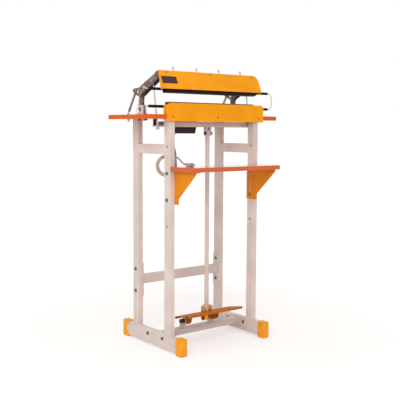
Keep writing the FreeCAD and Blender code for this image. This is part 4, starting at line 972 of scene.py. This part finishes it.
def hexagon_bolt(grip):
    """A bolt about the origin along Z: head down, nut and thread end up."""
    half = grip / 2
    washer, shank = 7.4, 4
    core = turned("shank", [
        (0, -half - 4), (washer - 3, -half - 4), (washer - 3, -half - 1.2),
        (washer - 0.3, -half - 1.2), (washer, -half - 0.9), (washer, -half), (shank, -half),
        (shank, half), (washer, half), (washer, half + 0.9), (washer - 0.3, half + 1.2),
        (shank, half + 1.2), (shank, half + 4.4), (shank - 0.7, half + 5), (0, half + 5)])
    head = hexagon(3.8, -half - 3.1)
    nut = hexagon(3.4, half + 2.9)
    return joined([core, head, nut], "hexagon_bolt")


leg_grip, post_grip, channel_grip, beam_grip = 28, 18, 21, 22
leg_bolts = ((-115.5, 628), (-115.5, 736), (-83, 48.5), (23, 48.5), (115.5, 217.5),
             (115.5, 312.5))
bolt_places = {leg_grip: [], post_grip: [], channel_grip: [], beam_grip: []}
for side in (-1, 1):
    bolt_places[leg_grip] += [aimed((side * 224, y, z), (-side, 0, 0)) for y, z in leg_bolts]
    bolt_places[post_grip].append(aimed((side * 250, 48, 996.6), (side, 0, 0)))
    bolt_places[channel_grip] += [aimed((side * 250, y, 964.5), below) for y in (17, 67)]
    bolt_places[beam_grip] += [aimed((side * x, -100, 965), below) for x in (60, 180)]
for grip, places in bolt_places.items():
    model = hexagon_bolt(grip)
    node = "hexagon_bolts" if grip == leg_grip else None
    replaced(f"hexagon_bolts_grip_{grip}", model, "frame", dull_zinc, places, node)
    bpy.data.objects.remove(model)

# %% [markdown]
# ## Wing screws
# Four wing screws adjust the upper bar under its cover. The stud and hub are turned.
# A wing is a thin disc with soft edges, whose inner half is drawn down to the hub.

# %% Wing screws
wing_radius, wing_thickness = 4.4, 2.2
wing_reach = 8


def wing(side):
    """One wing, from a disc beside the hub."""
    alone()
    middle = Vector((side * 7.6, 0, 22.6)) * millimetre
    bpy.ops.mesh.primitive_cylinder_add(vertices=28, radius=wing_radius * millimetre,
                                        depth=wing_thickness * millimetre, location=middle,
                                        rotation=(math.radians(90), 0, 0))
    piece = settle(bpy.context.object, "wing")
    faces_where(piece, lambda centre, normal: abs(normal.y) > 0.9)
    bpy.ops.mesh.bevel(offset=0.6 * millimetre, segments=2, affect="EDGES")
    bpy.ops.object.mode_set(mode="OBJECT")
    hubwards = Vector((-side, 0, -1.1)).normalized()
    for vertex in piece.data.vertices:
        vertex.select = (vertex.co - middle).dot(hubwards) > 0.2 * millimetre
    for edge in piece.data.edges:
        edge.select = all(piece.data.vertices[v].select for v in edge.vertices)
    bpy.ops.object.mode_set(mode="EDIT")
    bpy.ops.mesh.select_mode(type="VERT")
    bpy.ops.transform.translate(value=hubwards * wing_reach * millimetre)
    bpy.ops.object.mode_set(mode="OBJECT")
    return piece


screw = turned("wing_screw", [
    (0, 20), (2.6, 20), (3.4, 19.4), (4.2, 14), (4.2, 12.6), (3.6, 12), (2.8, 12), (2.8, 4),
    (5.4, 3.6), (6, 3), (6, 0.6), (5.4, 0), (3, 0), (3, -78.9), (0, -78.9)])
screw = joined([screw, wing(1), wing(-1)], "wing_screw")
turned_by = {-180: 16, -60: 84, 60: 24, 180: 78}
places = [jaw_open @ Matrix.Translation(Vector((x, -96, 1112.8)) * millimetre)
          @ Matrix.Rotation(math.radians(angle), 4, "Z") for x, angle in turned_by.items()]
replaced("adjusting_wing_screws", screw, "upper_jaw", zinc, places, "wing_screws")
bpy.data.objects.remove(screw)

# %% [markdown]
# ## Name plate
# The upper cover carries a small plate. Here it is bare: a thin plate with rounded
# corners, a sunk field inside a raised rim, and four rivets.

# %% Name plate
plate = block("name_plate", (74, 31, 1), (0, 0, 0.5))
edges_where(plate, lambda a, b: abs(a.z - b.z) > 0.5 * millimetre)
bpy.ops.mesh.bevel(offset=2.5 * millimetre, segments=5, affect="EDGES")
bpy.ops.object.mode_set(mode="OBJECT")
faces_where(plate, lambda centre, normal: normal.z > 0.9)
bpy.ops.mesh.inset(thickness=0.4 * millimetre, depth=0)
bpy.ops.mesh.inset(thickness=1.4 * millimetre, depth=0)
bpy.ops.mesh.inset(thickness=0.3 * millimetre, depth=-0.35 * millimetre)
bpy.ops.object.mode_set(mode="OBJECT")
rivet = turned("rivet", [(0, 1.7), (0.8, 1.6), (1.5, 1.2), (1.8, 0.6), (1.8, 0.4), (0, 0.4)], 16)
rivets = [copied(rivet, Matrix.Translation(Vector((x, y, 0)) * millimetre))
          for x in (-32, 32) for y in (-10.5, 10.5)]
bpy.data.objects.remove(rivet)
plate = joined([plate] + rivets, "name_plate")
lean = Matrix((rightwards, -cover_down, cover_normal)).transposed().to_4x4()
middle = on_cover(-224, 43.5) * millimetre
plate.data.transform(jaw_open @ Matrix.Translation(middle) @ lean)
dress(plate, "upper_jaw", label_skin, "label_plate")

# %% [markdown]
# ## Mains plug
# A moulded plug: a block that narrows to the cord, with grip grooves on both flat
# sides, a ribbed strain relief and two pins whose tips are rounded.

# %% Mains plug
plug_side, plug_height = -168, 771.8
body = block("plug_body", (26, 20, 15), (plug_side, -178, plug_height))
faces_where(body, lambda centre, normal: normal.y > 0.9)
bpy.ops.mesh.extrude_region_move(TRANSFORM_OT_translate={"value": (0, 14 * millimetre, 0)})
bpy.ops.transform.resize(value=(0.5, 1, 0.72))
bpy.ops.object.mode_set(mode="OBJECT")
edges_where(body, lambda a, b: True)
bpy.ops.mesh.bevel(offset=2.2 * millimetre, segments=3, affect="EDGES")
bpy.ops.object.mode_set(mode="OBJECT")
for y in (-186, -182, -178, -174):
    for z in (plug_height - 7.5, plug_height + 7.5):
        body = carved(body, block("groove", (18, 1.6, 1.4), (plug_side, y, z)))
ribs_outline = [(0, 0), (5.2, 0)]
for rib in range(5):
    crest, root, height = 5.2 - 0.2 * rib, 4.2 - 0.05 * rib, 4 * rib
    ribs_outline += [(crest, height + 2), (root, height + 2.4), (root, height + 4),
                     (crest - 0.2, height + 4.3)]
relief = turned("plug_relief", ribs_outline + [(4, 21.5), (0, 21.5)])
relief.data.transform(aimed((plug_side, -166, plug_height), (0, 1, 0)))
plug = joined([body, relief], "plug_body")
pin = turned("plug_pin", [(0, 18.4), (1.3, 18), (2.1, 16.9), (2.2, 16), (2.2, 0), (0, 0)])
pins = joined([copied(pin, aimed((x, -187.8, plug_height), (0, -1, 0))) for x in (-175, -161)],
              "plug_pins")
bpy.data.objects.remove(pin)
dress(plug, "frame", cord_skin, "mains_plug")
dress(pins, "frame", zinc)

# %% [markdown]
# ## Weld seams
# The side rails are welded to the legs and the legs to the base rails, so a low bead
# runs round each of these ends. A bead is a rounded bar along one side of the joint,
# cut into many rings and made uneven by a cloud texture, as overlapping weld pools are.

# %% Weld seams
bead_radius = 1.5
bead_ring = 1.3
pools = bpy.data.textures.new("weld_pools", "CLOUDS")
pools.noise_scale = 0.004


def bead(start, end):
    """A weld bead along a straight line between two millimetre places."""
    start, end = Vector(start), Vector(end)
    length = (end - start).length
    alone()
    bpy.ops.mesh.primitive_cylinder_add(vertices=10, radius=bead_radius * millimetre,
                                        depth=length * millimetre)
    piece = settle(bpy.context.object, "bead")
    edges_where(piece, lambda a, b: abs(a.z - b.z) > 1.5 * bead_radius * millimetre)
    bpy.ops.mesh.subdivide(number_cuts=int(length / bead_ring))
    bpy.ops.object.mode_set(mode="OBJECT")
    modify(piece, "DISPLACE", texture=pools, strength=0.9 * millimetre, mid_level=0.5,
           texture_coords="GLOBAL")
    piece.data.transform(aimed((start + end) / 2, end - start))
    return piece


def seam(corners):
    """Beads from corner to corner round the end of a tube."""
    return [bead(a, b) for a, b in zip(corners, corners[1:] + corners[:1])]


beads = []
for side in (-1, 1):
    inner, outer = side * 213.2, side * 237.8
    for y in (-95.1, 95.1):
        beads += seam([(inner, y, 811.6), (outer, y, 811.6), (outer, y, 852.4), (inner, y, 852.4)])
    for y in (-115.5, 115.5):
        near, far = y - 20.2, y + 20.2
        beads += seam([(inner, near, 68.3), (outer, near, 68.3), (outer, far, 68.3),
                       (inner, far, 68.3)])
print("weld beads", len(beads))
welds = joined(beads, "weld_seams")
dress(welds, "frame", frame_paint, smooth=60)
